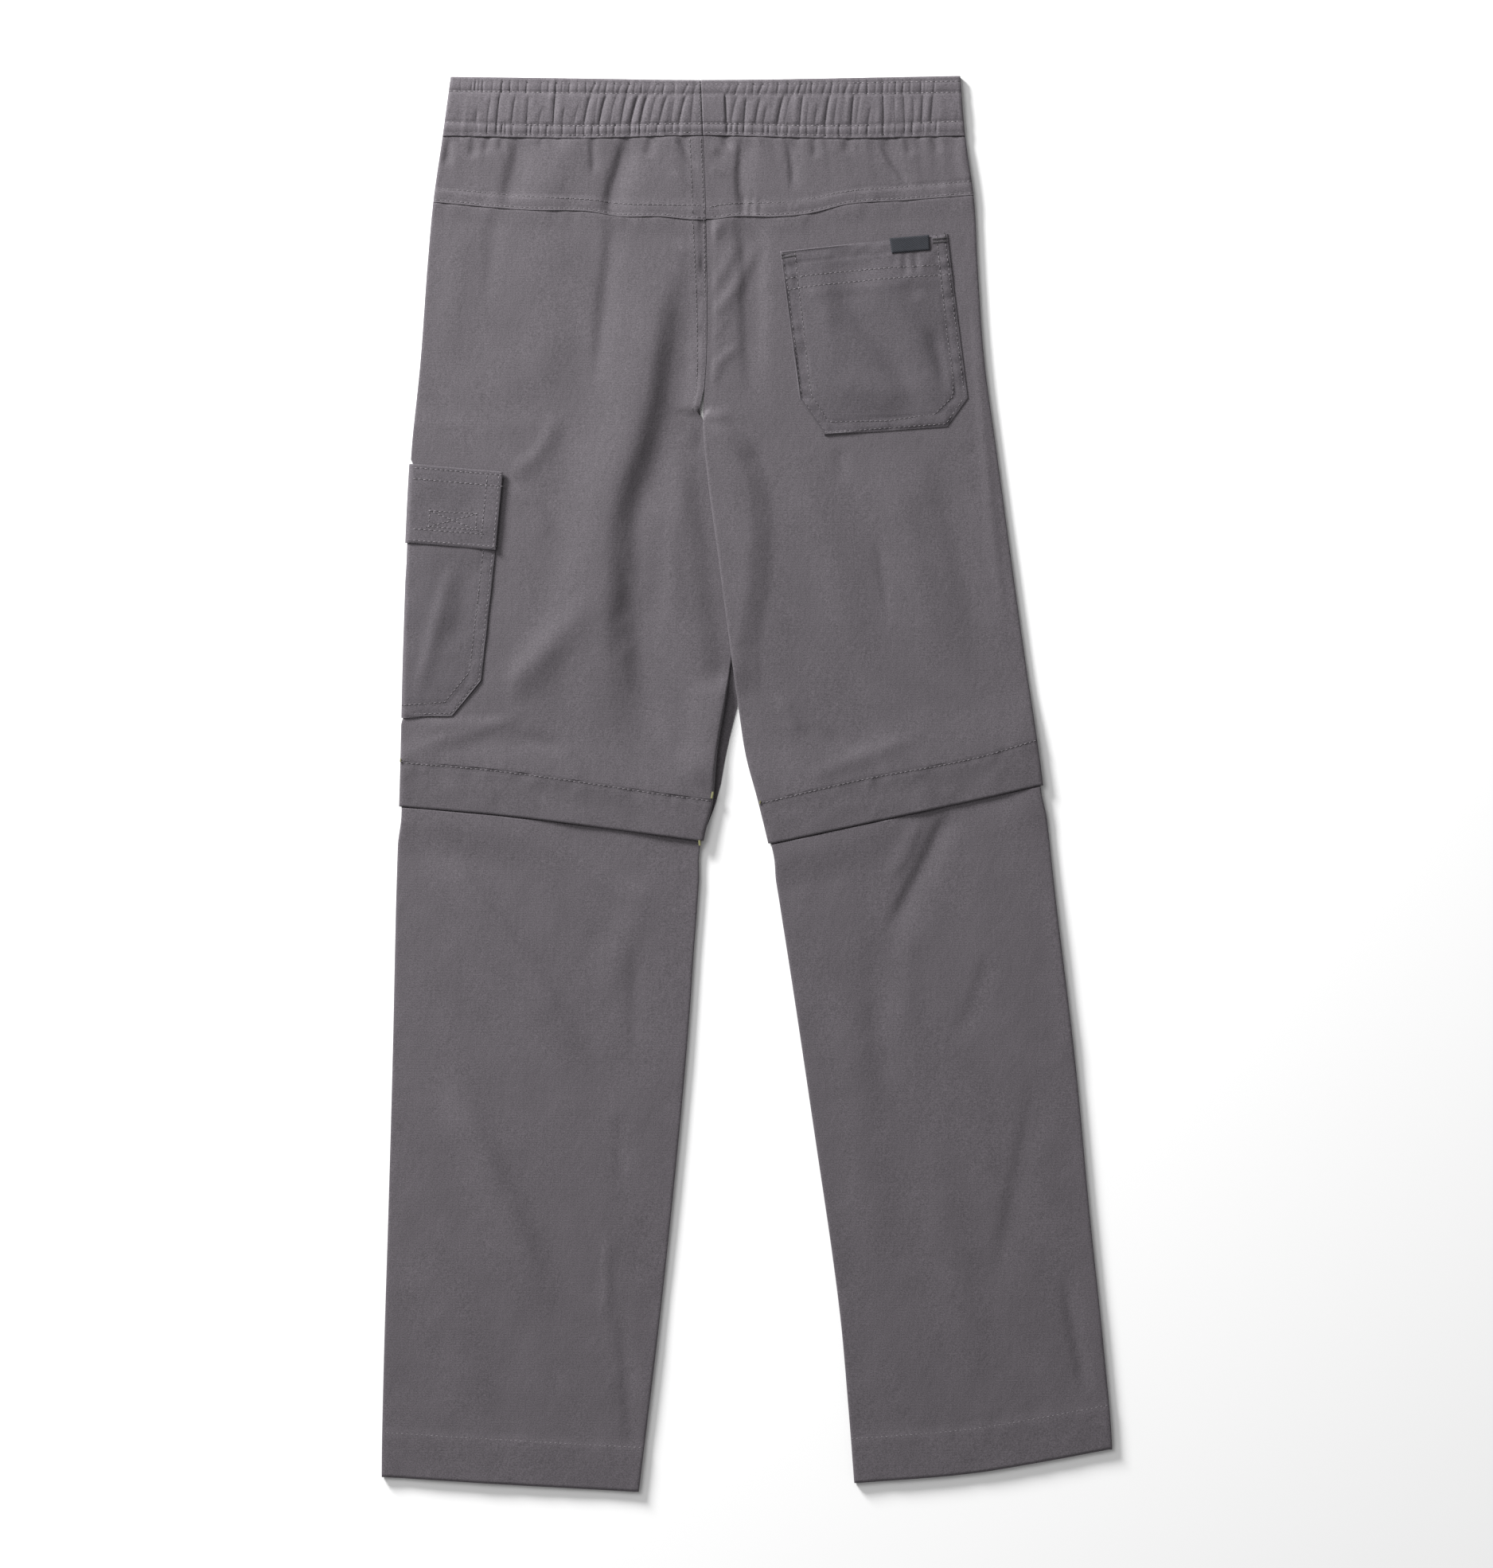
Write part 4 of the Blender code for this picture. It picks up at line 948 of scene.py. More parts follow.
def buildKnees():
    settings = {"width": 190.0, "length": 29.0, "step": 1.7, "rowStep": 1.8, "frontStep": 5.0,
                "frontRowStep": 3.0, "tapeLevels": (1.8, 3.1)}
    tapeEnds = buildTapeEnds()
    for side in ("left", "right"):
        tube = tubeOf(side, flapForm, flapTop, wall=garment["flapWall"], width=settings["width"])
        rowAt = between(shifted(kneeSeam[side], -0.03), flapEdge[side])
        shares = steppedShares(settings["length"], settings["rowStep"])
        grids = backSheet(tube, rowAt, shares, settings["step"])
        sew("knee_flap_back_" + side, grids, "flap_cloth", flat=(0.200, 0.030), held="laid",
            rests_on=["lower_back_" + side, "zip_tape_back_" + side])
        # the left flap's front cloth carries a strip of dark cloth standing in for the shadow between the
        # legs: painted shadow
        if side == "left":
            tube["showing"] = gapShadeCloth
        shares = steppedShares(settings["length"], settings["frontRowStep"])
        grids = frontSheet(tube, rowAt, shares, settings["frontStep"])
        sew("knee_flap_front_" + side, grids, "flap_cloth", flat=(0.190, 0.030),
            held="laid", rests_on=["floor"])
        for face, level in zip(("front", "back"), settings["tapeLevels"]):
            sew("zip_tape_" + face + "_" + side, tapeSheet(side, level), "zip_tape",
                flat=(0.172, 0.0167), held="stretched", rests_on=["lower_" + face + "_" + side],
                with_pieces=tapeEnds[side] if face == "back" else [])


waistband = {
    "top": 5.0,
    "wall": 2.2,
    "frontWall": 2.0,
    # the four rows of stitches and the lower edge as (x, y)
    "rows": (
        ((-193.7, 459.7), (-111.5, 458.1), (-30.4, 457.3), (60.1, 458.1), (139.6, 459.2)),
        ((-195, 452.9), (-111.5, 451.4), (-30.4, 450.8), (60.1, 451), (141, 451.9)),
        ((-198, 432.6), (-111.5, 430.2), (-30.4, 431.6), (60.1, 430.2), (142, 433.2)),
        ((-199, 425.9), (-111.5, 423.9), (-30.4, 425.8), (60.1, 423.9), (143, 425.9)),
    ),
    # each deep gather: x where it meets the second and the third row, its depth, the share where it starts
    "gathers": (
        (-187.0, -188.5, 0.3, 0.2), (-175.2, -176.6, 1.0, 0.55), (-165.6, -169.6, 0.9, 0.15),
        (-160.4, -163.3, 1.5, 0), (-150.0, -153.6, 1.1, 0.1), (-141.8, -143.7, 1.0, 0.1),
        (-129.0, -136.0, 0.7, 0.45), (-124.6, -126.3, 1.4, 0), (-116.5, -120.5, 0.8, 0.4),
        (-106.0, -113.0, 0.8, 0.35), (-100.6, -106.4, 1.6, 0), (-96.0, -99.6, 0.6, 0.1),
        (-90.6, -96.5, 1.7, 0), (-83.8, -89.4, 0.8, 0), (-77.4, -82.2, 1.3, 0), (-69.4, -76.0, 2.0, 0),
        (-63.6, -69.8, 1.7, 0), (-57.6, -63.4, 0.8, 0), (-50.4, -57.2, 1.3, 0), (-45.8, -49.4, 0.7, 0.1),
        (-38.4, -44.2, 1.6, 0), (-34.2, -36.4, 0.7, 0), (-14.2, -13.1, 2.2, 0), (-4.8, -10.2, 0.9, 0),
        (0.6, -1.7, 1.5, 0.1), (10.4, 5.6, 1.1, 0.1), (16.4, 10.8, 1.0, 0.4), (25.4, 20.0, 1.8, 0),
        (30.2, 24.6, 0.8, 0), (37.4, 34.8, 1.5, 0), (42.0, 39.0, 0.6, 0.2), (48.6, 44.4, 1.0, 0.4),
        (55.0, 51.2, 1.7, 0), (60.6, 57.0, 0.8, 0.1), (70.6, 68.3, 1.7, 0), (75.4, 71.6, 0.7, 0),
        (84.6, 79.0, 0.9, 0.4), (89.2, 89.6, 1.5, 0), (96.4, 97.0, 0.6, 0.1), (102.4, 103.4, 0.8, 0),
        (108.8, 109.2, 0.6, 0.1), (115.6, 114.4, 1.1, 0), (122.4, 120.4, 1.0, 0), (130.0, 130.5, 0.3, 0.2),
    ),
    "width": 168.0,
    # x of the small gathers between the first and second rows, then between the third and fourth
    "small": (
        (-187, -179.7, -177.4, -175, -172.6, -166, -160, -154.7, -149, -143.9, -134.4, -129.6, -124.8,
         -120.6, -115.9, -110.5, -105, -100.3, -96.2, -92, -86.6, -83, -77.7, -73.5, -68.7, -63.9, -59.8,
         -54.4, -47, -40, -34.1, -21.5, -18.5, -11.3, -6.5, -0.6, 4.2, 9, 13.8, 20.3, 26.9, 31.7, 34.6,
         38.8, 42.4, 46, 50.8, 55.5, 60.3, 65.1, 69.9, 73.4, 78.8, 84.2, 89, 92.5, 97.3, 102.1, 106.9,
         114, 116.4, 122.4),
        (-175.9, -169.6, -163.6, -160, -157.7, -152.9, -143.3, -140.9, -135.6, -130.8, -127.8, -120.3,
         -111.7, -106, -100.9, -96.2, -91.4, -86.6, -75.9, -72.3, -69.9, -65.7, -58.6, -53.2, -48.4,
         -43.6, -12.8, -9.5, -5.9, -1.8, 4.2, 11.4, 14.4, 22.1, 26.9, 34.1, 39.4, 46, 52, 60.3, 68.7,
         72.9, 78.8, 84.2, 89, 97.3, 103.3, 108.1, 116, 124),
    ),
    "deepSmall": (-160, -12.8),
}
waistRows = [softCurve(row) for row in waistband["rows"]]


def pinch(away, narrow, wide):
    # a sharp crease between two soft puffs
    return 0.7 * np.exp(-np.abs(away) / narrow) + 0.3 * np.exp(-((away / wide) ** 2))


def waistTop(side, x, y):
    rows = [row(x) for row in waistRows]
    upper, share, lower = ((rows[k] - y) / (rows[k] - rows[k + 1]) for k in range(3))
    total = 0.0
    for part, puff in ((share, 0.45), (upper, 0.25), (lower, 0.25)):
        total = total + puff * np.sin(np.pi * np.clip(part, 0, 1)) ** 0.7
    patch = band(x, -30, -15.5, 1.0)
    fold = np.zeros(np.broadcast(x, y).shape)
    for high, low, depth, begins in waistband["gathers"]:
        # steep below, leaning over towards its top
        away = x - mix(high, low, np.clip(share, 0, 1) ** 0.6)
        along = ramp(share, begins - 0.06, begins + 0.16) * (1 - ramp(share, 0.85, 1.05) * 0.55)
        along = along * (1 - ramp(share, 1.3, 1.42))
        fold -= 0.62 * depth * along * pinch(away + 0.2, np.where(away > 0, 0.75, 0.36), 2.6)
        fold += 0.2 * depth * along * hump(away + 2.8, 2.0) * band(share, 0.1, 0.85, 0.12)
    for number, (part, places) in enumerate(zip((upper, lower), waistband["small"])):
        along = band(part, 0.12, 0.88, 0.3)
        for order, place in enumerate(places):
            if abs(place - np.mean(x)) > 4 + np.ptp(x) / 2:
                continue
            depth = 0.4 + 0.5 * ((order * 7) % 5) / 4 + (0.5 if place in waistband["deepSmall"] else 0.0)
            lean = (2.6 if number == 0 and -102 < place < 75 else 0.6) * (0.2 + ((order * 3) % 4) / 3)
            fold -= 0.85 * depth * along * pinch(x - place + (part - 0.5) * lean, 0.36, 1.0)
    fine = cloudy(x - 0.12 * y, y * 0.12, 2.9, 2.4)
    calm = (1 - patch) * ramp(x, -197, -182) * (1 - ramp(x, 122, 138) * 0.6)
    fold += 0.16 * fine + 0.12 * cloudy(x, y * 0.5, 5.0, 3.4)
    total += fold * calm + 0.25 * patch * band(share, 0.02, 0.98, 0.04)
    for depth, row in zip((0.35, 0.4, 0.4, 0.3), rows):
        total -= depth * hump(y - row, 0.8)
    total += seamDip(waistEdge(x) - y, 1.0, 1.2) + seamDip(y - waistSeam(x) + 0.3 * fine, 0.5, 0.6)
    total -= 0.45 * (1 - ramp(y - waistSeam(x), 0, 6))
    left, right = legEdges(side, y)
    return waistband["top"] + total + seamDip(right - x if side == "left" else x - left, 0.4, 0.7)


def waistUnder(x, y):
    return 0.5 * np.maximum(cloudy(x - 0.1 * y, y * 0.1, 4.5, 6.6), 0)


def waistSheet(side, rowAt, shares, step):
    # as backSheet, with no roll at the centre back
    steps = garment["curlSteps"]
    flat = int(round(waistband["width"] / step))
    column = np.arange(flat + steps + 1)[None, :]
    sign = 1 if side == "left" else -1
    high, wall = waistband["top"], waistband["wall"]
    radius = high / 2
    across = np.clip((column - steps) / flat, 0, 1)

    def flatEnds(y):
        outerEdge, innerEdge = legEdges(side, y)[::sign]
        return outerEdge + sign * radius, innerEdge

    x, y = settled(rowAt, shares[:, None], across, lambda y: mix(*flatEnds(y), across))
    start = flatEnds(y)[0]
    outer, inner = grid(x, y, waistTop(side, x, y)), grid(x, y, high - wall)
    cloth = grid(x, y)
    turn = np.clip((steps - column) / steps, 0, 1) + np.zeros(x.shape)
    beside, below, innerBeside, innerBelow = curlPoint(1.0, radius, wall, turn)
    rough = (outer[..., 2] - high) * (1 - softStep(turn * 1.4))
    here = np.broadcast_to(column < steps, x.shape)
    outer[here] = grid(start - sign * beside, y, high + below + rough)[here]
    inner[here] = grid(start - sign * innerBeside, y, high + innerBelow)[here]
    cloth[here] = grid(start - sign * np.pi * radius * turn, y)[here]
    return outer[:, ::sign], inner[:, ::sign], cloth[:, ::sign]


def buildWaistband():
    settings = {"length": 38.5, "frontWidth": 326.0, "step": 0.42, "rowStep": 1.15, "frontStep": 2.5}
    rowAt = between(waistEdge, shifted(waistSeam, halfGap))
    for side in ("left", "right"):
        shares = steppedShares(settings["length"], settings["rowStep"])
        grids = waistSheet(side, rowAt, shares, settings["step"])
        sew("waistband_back_" + side, grids, "waist_cloth", flat=(0.220, 0.040),
            held="gathered", rests_on=["waistband_front"])
    inset = waistband["top"] / 2 + garment["gap"]
    across = steppedShares(settings["frontWidth"], settings["frontStep"])[None, :]
    shares = steppedShares(settings["length"], settings["frontStep"])[:, None]
    x, y = settled(rowAt, shares, across, lambda y: mix(outerLeft(y) + inset, outerRight(y) - inset, across))
    grids = slab(x, y, waistband["frontWall"], waistUnder(x, y))
    sew("waistband_front", grids, "waist_cloth", flat=(0.330, 0.040), held="laid", rests_on=["floor"])


backPocket = {
    # share of the height, then x and y of the left edge and of the right edge
    "rows": ((0.0, 21.6, 347.9, 130.8, 359.8), (0.26, 24.9, 325.0, 133.9, 334.0),
             (0.8, 34.1, 251.7, 144.3, 252.2), (1.0, 50.7, 227.8, 130.8, 233.5)),
    "width": 110.0,
    "length": 120.0,
    "under": 4.5,
    "step": 1.6,
    "folds": (
        (((48, 350), (64, 320), (82, 294), (102, 268), (120, 240)), 18, 8, -1.9),
        (((78, 342), (94, 316), (108, 294), (120, 268)), 9, 14, 1.2),
        (((118, 300), (126, 278), (130, 256)), 6, 4, -0.9),
        (((38, 326), (50, 312), (58, 296)), 5, 5, 0.6),
        (((102, 352), (104, 330)), 2.4, 1.6, -0.9),
        (((109, 352), (111, 331)), 2.4, 1.6, -0.9),
        (((96, 350), (97, 338)), 2, 1.6, -0.5),
        (((56, 268), (80, 256), (104, 252)), 9, 9, 0.6),
        (((104, 330), (112, 316)), 6, 6, -0.6),
    ),
    "label": ((93.0, 356.4), (119.0, 358.6), (94.6, 346.6), (119.4, 348.8)),
    "labelSize": (26, 10),
    "labelWall": 0.8,
}


def fieldAt(rows, field, share):
    table = np.array(rows)
    return np.interp(share, table[:, 0], table[:, field])


def sharesWith(rows, length, step):
    # even shares of the height, and those of the rows
    shares = np.concatenate([steppedShares(length, step), [row[0] for row in rows]])
    return np.unique(np.round(shares, 4))[:, None]


def edgeDistance(corners, x, y):
    # distance in from a convex outline whose corners run clockwise
    nearest = np.full(np.broadcast(x, y).shape, 1e9)
    for (ax, ay), (bx, by) in zip(corners, corners[1:] + corners[:1]):
        length = math.hypot(bx - ax, by - ay)
        nearest = np.minimum(nearest, ((x - ax) * (by - ay) - (y - ay) * (bx - ax)) / length)
    return nearest


def pocketDrop(x, y):
    # 0 at the pocket's top edge, 1 at its bottom edge
    top, bottom = (mix(y0, y1, np.clip((x - x0) / (x1 - x0), 0, 1))
                   for _, x0, y0, x1, y1 in (backPocket["rows"][0], backPocket["rows"][-1]))
    return np.clip((top - y) / (top - bottom), 0, 1)


def backPocketTop(x, y):
    high, _, low, bottom = backPocket["rows"]
    corners = (high[1:3], high[3:], low[3:], bottom[3:], bottom[1:3], low[1:3])
    inside, drop = edgeDistance(corners, x, y), pocketDrop(x, y)
    folds = creases(backPocket["folds"], x, y) * ramp(inside, 6, 16) + 1.5 * ramp(inside, 5, 30)
    folds += 0.3 * (1 - ramp(drop, 0.24, 0.28)) + 0.25 * cloudy(x, y, 16.0, 1.9) * ramp(inside, 3, 10)
    side = 1 - ramp(np.minimum(x - 20 - (348 - y) * 0.11, 140 - x + (y - 290) * -0.11), 9, 16)
    folds += 0.8 * cloudy(0.0, y + 0.2 * x, 4.6, 7.3) * band(inside, 2.4, 7.5, 1.5) * side
    folds += 0.3 * cloudy(x, y, 6.0, 4.3) * band(inside, 1.8, 7.5, 2.0) * (1 - side)
    # the left edge stands up as a thin fold, the right one is pressed flat
    pressed = ramp(x, 50, 90)
    folds += 0.35 * hump(inside - 0.8, 0.6) * (1 - pressed)
    folds -= 0.3 * hump(inside - 1.7, 0.7) + 0.3 * hump(inside - 8.4, 0.8) * ramp(drop, 0.0, 0.03)
    return backPocket["under"] + garment["wall"] + folds + seamDip(inside, 0.75, mix(0.6, 2.2, pressed))


def buildBackPocket():
    under = backPocket["under"]
    shares = sharesWith(backPocket["rows"], backPocket["length"], backPocket["step"])
    across = steppedShares(backPocket["width"], backPocket["step"])[None, :]
    x0, y0, x1, y1 = (fieldAt(backPocket["rows"], field, shares) for field in range(1, 5))
    x, y = mix(x0, x1, across), mix(y0, y1, across)
    grids = slab(x, y, np.maximum(backPocketTop(x, y), under + 0.12), under)
    sew("back_pocket", grids, "pocket_cloth", flat=(0.122, 0.128), held="laid",
        rests_on=["back_upper_right"])

    corners = np.array(backPocket["label"])
    wide, high = backPocket["labelSize"]
    u, v = np.meshgrid(steppedShares(wide, 1.0, (0.15, 0.4)), steppedShares(high, 0.8, (0.15, 0.4)))
    first, second = (mix(corners[k], corners[k + 1], u[..., None]) for k in (0, 2))
    x, y = np.moveaxis(mix(first, second, v[..., None]), -1, 0)
    level = under + garment["wall"] + 0.6
    rim = np.minimum(np.minimum(u, 1 - u) * wide, np.minimum(v, 1 - v) * high)
    top = level + backPocket["labelWall"] + seamDip(rim, 0.35, 0.6)
    top += 0.08 * cloudy(u * wide, v * high, 4.0, 3.0)
    grids = grid(x, y, top), grid(x, y, level), grid(u * wide, -v * high)
    sew("pocket_label", grids, "label_weave", flat=(0.026, 0.010), held="folded", rests_on=["back_pocket"])


cargo = {
    # share of the height, y at the side, then x and y of the free edge on the back
    "pocket": ((0.0, 201.0, -161.5, 196.0), (0.3, 157.6, -164.5, 150.0), (0.55, 118.0, -168.2, 115.0),
               (0.84, 66.0, -173.4, 67.6), (1.0, 43.2, -192.1, 44.7)),
    "flap": ((0.0, 209.0, -159.4, 203.8), (1.0, 157.6, -164.1, 152.9)),
    "flapHigh": 51.0,
    "slope": 0.087,
    "columns": 34,
    "curlColumns": 14,
    "rowStep": 1.9,
    "folds": (
        (((-190, 150), (-200, 118), (-208, 84), (-218, 50)), 6, 4, 1.0),
        (((-180, 150), (-186, 120), (-190, 84)), 8, 6, -0.6),
    ),
}
cargoLevel = garment["cargoTop"] + layer


def cargoFlapTop(x, y):
    # outer face of the flap over the back of the leg
    high = cargo["flapHigh"]
    share = np.clip((203.8 - (x + 159.4) * cargo["slope"] - y) / high, 0, 1)
    rim = np.minimum(-159.7 - share * 4.6 - x, np.minimum(share, 1 - share) * high)
    folds = seamDip(rim, 0.45, 0.6) - 0.25 * hump(rim - 1.8, 0.7) + 0.8 * ramp(x, -185, -163)
    folds += 0.25 * cloudy(x, y, 13.0, 2.9) - 0.25 * hump(share * high - 8.4, 0.8)
    return cargoLevel + layer + folds


def cargoPocketTop(x, y):
    table = np.array(cargo["pocket"])
    inside = np.minimum(np.interp(-np.asarray(y), -table[:, 3], table[:, 2]) - x, y - 43.9)
    folds = creases(cargo["folds"], x, y) * ramp(inside, 5, 12)
    folds += 0.3 * cloudy(0.0, y, 4.5, 6.3) * band(inside, 1.8, 7.0, 2.0) + 0.3 * cloudy(x, y, 14.0, 5.9)
    folds += seamDip(inside, 0.45, 0.6) - 0.25 * hump(inside - 1.7, 0.7) - 0.25 * hump(inside - 9.0, 0.8)
    return cargoLevel + folds


def buildCargo():
    flat, curl, wall = cargo["columns"], cargo["curlColumns"], garment["wall"]
    column = np.arange(2 * flat + curl + 1)[None, :]
    onBack, low = column <= flat, column >= flat + curl
    away = np.where(onBack, 1 - column / flat, np.clip((column - flat - curl) / flat, 0, 1))
    away = 1 - (1 - away) ** 1.25
    for node, rows, level, topAt, size in (
        ("cargo_pocket", cargo["pocket"], 0, cargoPocketTop, (0.120, 0.160)),
        ("cargo_flap", cargo["flap"], 1, cargoFlapTop, (0.130, 0.052)),
    ):
        length = rows[0][1] - rows[-1][1]
        shares = sharesWith(rows, length, cargo["rowStep"])
        ySide, xEnd, yEnd = (fieldAt(rows, field, shares) for field in (1, 2, 3))
        flapShare = band(ySide, cargo["flap"][-1][3] - 8, cargo["flap"][0][1] + 8, 14)
        under = layer * flapShare * (1 - level)
        top = cargoLevel + layer * level
        radius = (top - under) / 2
        start = outerLeft(ySide) - 0.9 * flapShare + under + radius
        x, y = mix(start, xEnd, away), mix(ySide, yEnd, away)
        shown = topAt(x, y)
        angle = math.pi * np.clip((column - flat) / curl, 0, 1) + np.zeros(x.shape)
        rough = (shown - top) * (1 - softStep(angle / math.pi * 1.5))
        turnX, turnZ = start - radius * np.sin(angle), top - radius + radius * np.cos(angle)
        rimLow = np.minimum((1 - away) * 55.0, np.minimum(shares, 1 - shares) * length)
        outerY = np.where(onBack | low, y, ySide)
        lowZ = under + 0.4 * (1 - softStep(rimLow / 1.2))
        outerZ = np.where(onBack, shown, np.where(low, lowZ, turnZ + rough))
        innerZ = np.where(onBack, np.minimum(top - wall, outerZ - 0.12),
                          np.where(low, under + wall, turnZ - wall * np.cos(angle)))
        outer = grid(np.where(onBack | low, x, turnX), outerY, outerZ)
        inner = grid(np.where(onBack | low, x, turnX + wall * np.sin(angle)), outerY, innerZ)
        clothX = np.where(onBack, x, np.where(low, 2 * start - np.pi * radius - x, start - radius * angle))
        cloth = grid(clothX, outerY)
        # the grid runs from the back's free edge outwards, so it is turned to face up
        sew(node, (outer[:, ::-1], inner[:, ::-1], cloth[:, ::-1]), "pocket_cloth",
            flat=size, held="laid", rests_on=["back_upper_left", "front_upper_left"])


def stitchTree():
    tree = bpy.data.node_groups.new("stitchRow", "GeometryNodeTree")
    face = tree.interface
    face.new_socket(name="Geometry", in_out="INPUT", socket_type="NodeSocketGeometry")
    for name, value in (("Pitch", 0.0032), ("Length", 0.002), ("Width", 0.0005), ("Height", 0.0004),
                        ("Shift", 0.0), ("Turn", 0.0), ("Wander", 0.06)):
        face.new_socket(name=name, in_out="INPUT", socket_type="NodeSocketFloat").default_value = value
    face.new_socket(name="Seed", in_out="INPUT", socket_type="NodeSocketInt").default_value = 5
    face.new_socket(name="Thread", in_out="INPUT", socket_type="NodeSocketMaterial")
    face.new_socket(name="Geometry", in_out="OUTPUT", socket_type="NodeSocketGeometry")
    nodes, links = tree.nodes, tree.links
    given, made = nodes.new("NodeGroupInput"), nodes.new("NodeGroupOutput")
    path = nodes.new("GeometryNodeMeshToCurve")
    even = addNode(nodes, "GeometryNodeResampleCurve", mode="LENGTH")
    tangent = nodes.new("GeometryNodeInputTangent")
    up = addNode(nodes, "GeometryNodeInputNamedAttribute", data_type="FLOAT_VECTOR", Name="surfaceUp")
    ahead = addNode(nodes, "FunctionNodeAlignRotationToVector", axis="X")
    lying = addNode(nodes, "FunctionNodeAlignRotationToVector", axis="Z", pivot_axis="X")
    wander = addNode(nodes, "FunctionNodeRandomValue", data_type="FLOAT")
    less = addNode(nodes, "ShaderNodeMath", operation="MULTIPLY")
    less.inputs[1].default_value = -1.0
    angle = addNode(nodes, "ShaderNodeMath", operation="ADD")
    euler = nodes.new("ShaderNodeCombineXYZ")
    turn = nodes.new("FunctionNodeEulerToRotation")
    turned = addNode(nodes, "FunctionNodeRotateRotation", rotation_space="LOCAL")
    dash = addNode(nodes, "GeometryNodeMeshUVSphere", Segments=6, Rings=4, Radius=0.5)
    size = nodes.new("ShaderNodeCombineXYZ")
    move = nodes.new("ShaderNodeCombineXYZ")
    shaped = nodes.new("GeometryNodeTransform")
    uneven = addNode(nodes, "FunctionNodeRandomValue", data_type="FLOAT")
    uneven.inputs[2].default_value, uneven.inputs[3].default_value = 0.85, 1.12
    place = nodes.new("GeometryNodeInstanceOnPoints")
    real = nodes.new("GeometryNodeRealizeInstances")
    painted = nodes.new("GeometryNodeSetMaterial")
    for a, b, c, d in (
        (given, "Geometry", path, "Mesh"), (path, "Curve", even, "Curve"), (given, "Pitch", even, "Length"),
        (tangent, "Tangent", ahead, "Vector"), (ahead, "Rotation", lying, "Rotation"),
        (up, "Attribute", lying, "Vector"), (given, "Wander", less, 0), (less, "Value", wander, 2),
        (given, "Wander", wander, 3), (given, "Seed", wander, "Seed"), (given, "Seed", uneven, "Seed"),
        (wander, 1, angle, 0), (given, "Turn", angle, 1), (angle, "Value", euler, "Z"),
        (euler, "Vector", turn, "Euler"), (lying, "Rotation", turned, "Rotation"),
        (turn, "Rotation", turned, "Rotate By"), (given, "Length", size, "X"), (given, "Width", size, "Y"),
        (given, "Height", size, "Z"), (given, "Shift", move, "X"), (dash, "Mesh", shaped, "Geometry"),
        (size, "Vector", shaped, "Scale"), (move, "Vector", shaped, "Translation"),
        (even, "Curve", place, "Points"), (shaped, "Geometry", place, "Instance"),
        (turned, "Rotation", place, "Rotation"), (uneven, 1, place, "Scale"),
        (place, "Instances", real, "Geometry"), (real, "Geometry", painted, "Geometry"),
        (given, "Thread", painted, "Material"), (painted, "Geometry", made, "Geometry"),
    ):
        links.new(a.outputs[b], c.inputs[d])
    return tree


rowTree = stitchTree()


def layPath(path, heightAt, smooth=True):
    # puts a path drawn on the plan onto the cloth below it, every 0.8 mm, with the cloth's normal
    points = rounded(path) if smooth else np.array(path, float)
    runs = np.hypot(*np.diff(points, axis=0).T)
    passed = np.concatenate([[0], np.cumsum(runs)])
    at = np.linspace(0, passed[-1], max(int(passed[-1] / 0.8), 2))
    x, y = np.interp(at, passed, points[:, 0]), np.interp(at, passed, points[:, 1])
    z = heightAt(x, y)
    slopeX = (heightAt(x + 0.8, y) - heightAt(x - 0.8, y)) / 1.6
    slopeY = (heightAt(x, y + 0.8) - heightAt(x, y - 0.8)) / 1.6
    normal = grid(-slopeX, -slopeY, 1.0)
    return grid(x, y, z), normal / np.linalg.norm(normal, axis=1)[:, None]


def stitchRows(name, slot, rows, look, pitch=3.2, length=2.0, width=0.5, height=0.45, shift=0.0, turn=0.0,
               lift=0.05, wander=0.06, seed=5, smooth=True):
    # rows is a list of (path, height function)
    places, normals, joins = [], [], []
    for path, heightAt in rows:
        points, ups = layPath(path, heightAt, smooth)
        joins += [(len(places) + k, len(places) + k + 1) for k in range(len(points) - 1)]
        places += (points + ups * lift).tolist()
        normals += ups.tolist()
    mesh = bpy.data.meshes.new(name + "Path")
    mesh.from_pydata((np.array(places) * mm).tolist(), joins, [])
    surfaceUp = mesh.attributes.new("surfaceUp", "FLOAT_VECTOR", "POINT")
    surfaceUp.data.foreach_set("vector", np.array(normals).ravel())
    rowObject = addObject(name + "Path", mesh)
    modifier = rowObject.modifiers.new("stitches", "NODES")
    modifier.node_group = rowTree
    values = {"Pitch": pitch * mm, "Length": length * mm, "Width": width * mm, "Height": height * mm,
              "Shift": shift * mm, "Turn": turn, "Wander": wander, "Seed": seed, "Thread": threadLook[look]}
    for item in rowTree.interface.items_tree:
        if item.in_out == "INPUT" and item.name in values:
            modifier[item.identifier] = values[item.name]
    bpy.context.view_layer.update()
    evaluated = rowObject.evaluated_get(bpy.context.evaluated_depsgraph_get())
    finished = bpy.data.meshes.new_from_object(evaluated)
    finished.shade_smooth()
    finished.name = name
    bpy.data.objects.remove(rowObject)
    if not finished.materials:
        finished.materials.append(threadLook[look])
    piece = addObject(name, finished)
    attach(piece, "root")
    return piece


def seamStitches(name, slot, rows, look="plain", pitch=3.2, seed=5, **more):
    stitchRows(name, slot, rows, look, pitch=pitch, seed=seed, **more)
    # between the stitches lie small near-black dashes: painted shade in the needle holes
    more.update(length=0.95, width=0.62, height=0.24)
    more.update(pitch=pitch, shift=pitch / 2, lift=0.03, seed=seed)
    stitchRows(name + "Holes", slot, rows, "hole", **more)


def alongLine(line, start, end, count=24):
    return [(x, float(line(x))) for x in np.linspace(start, end, count)]


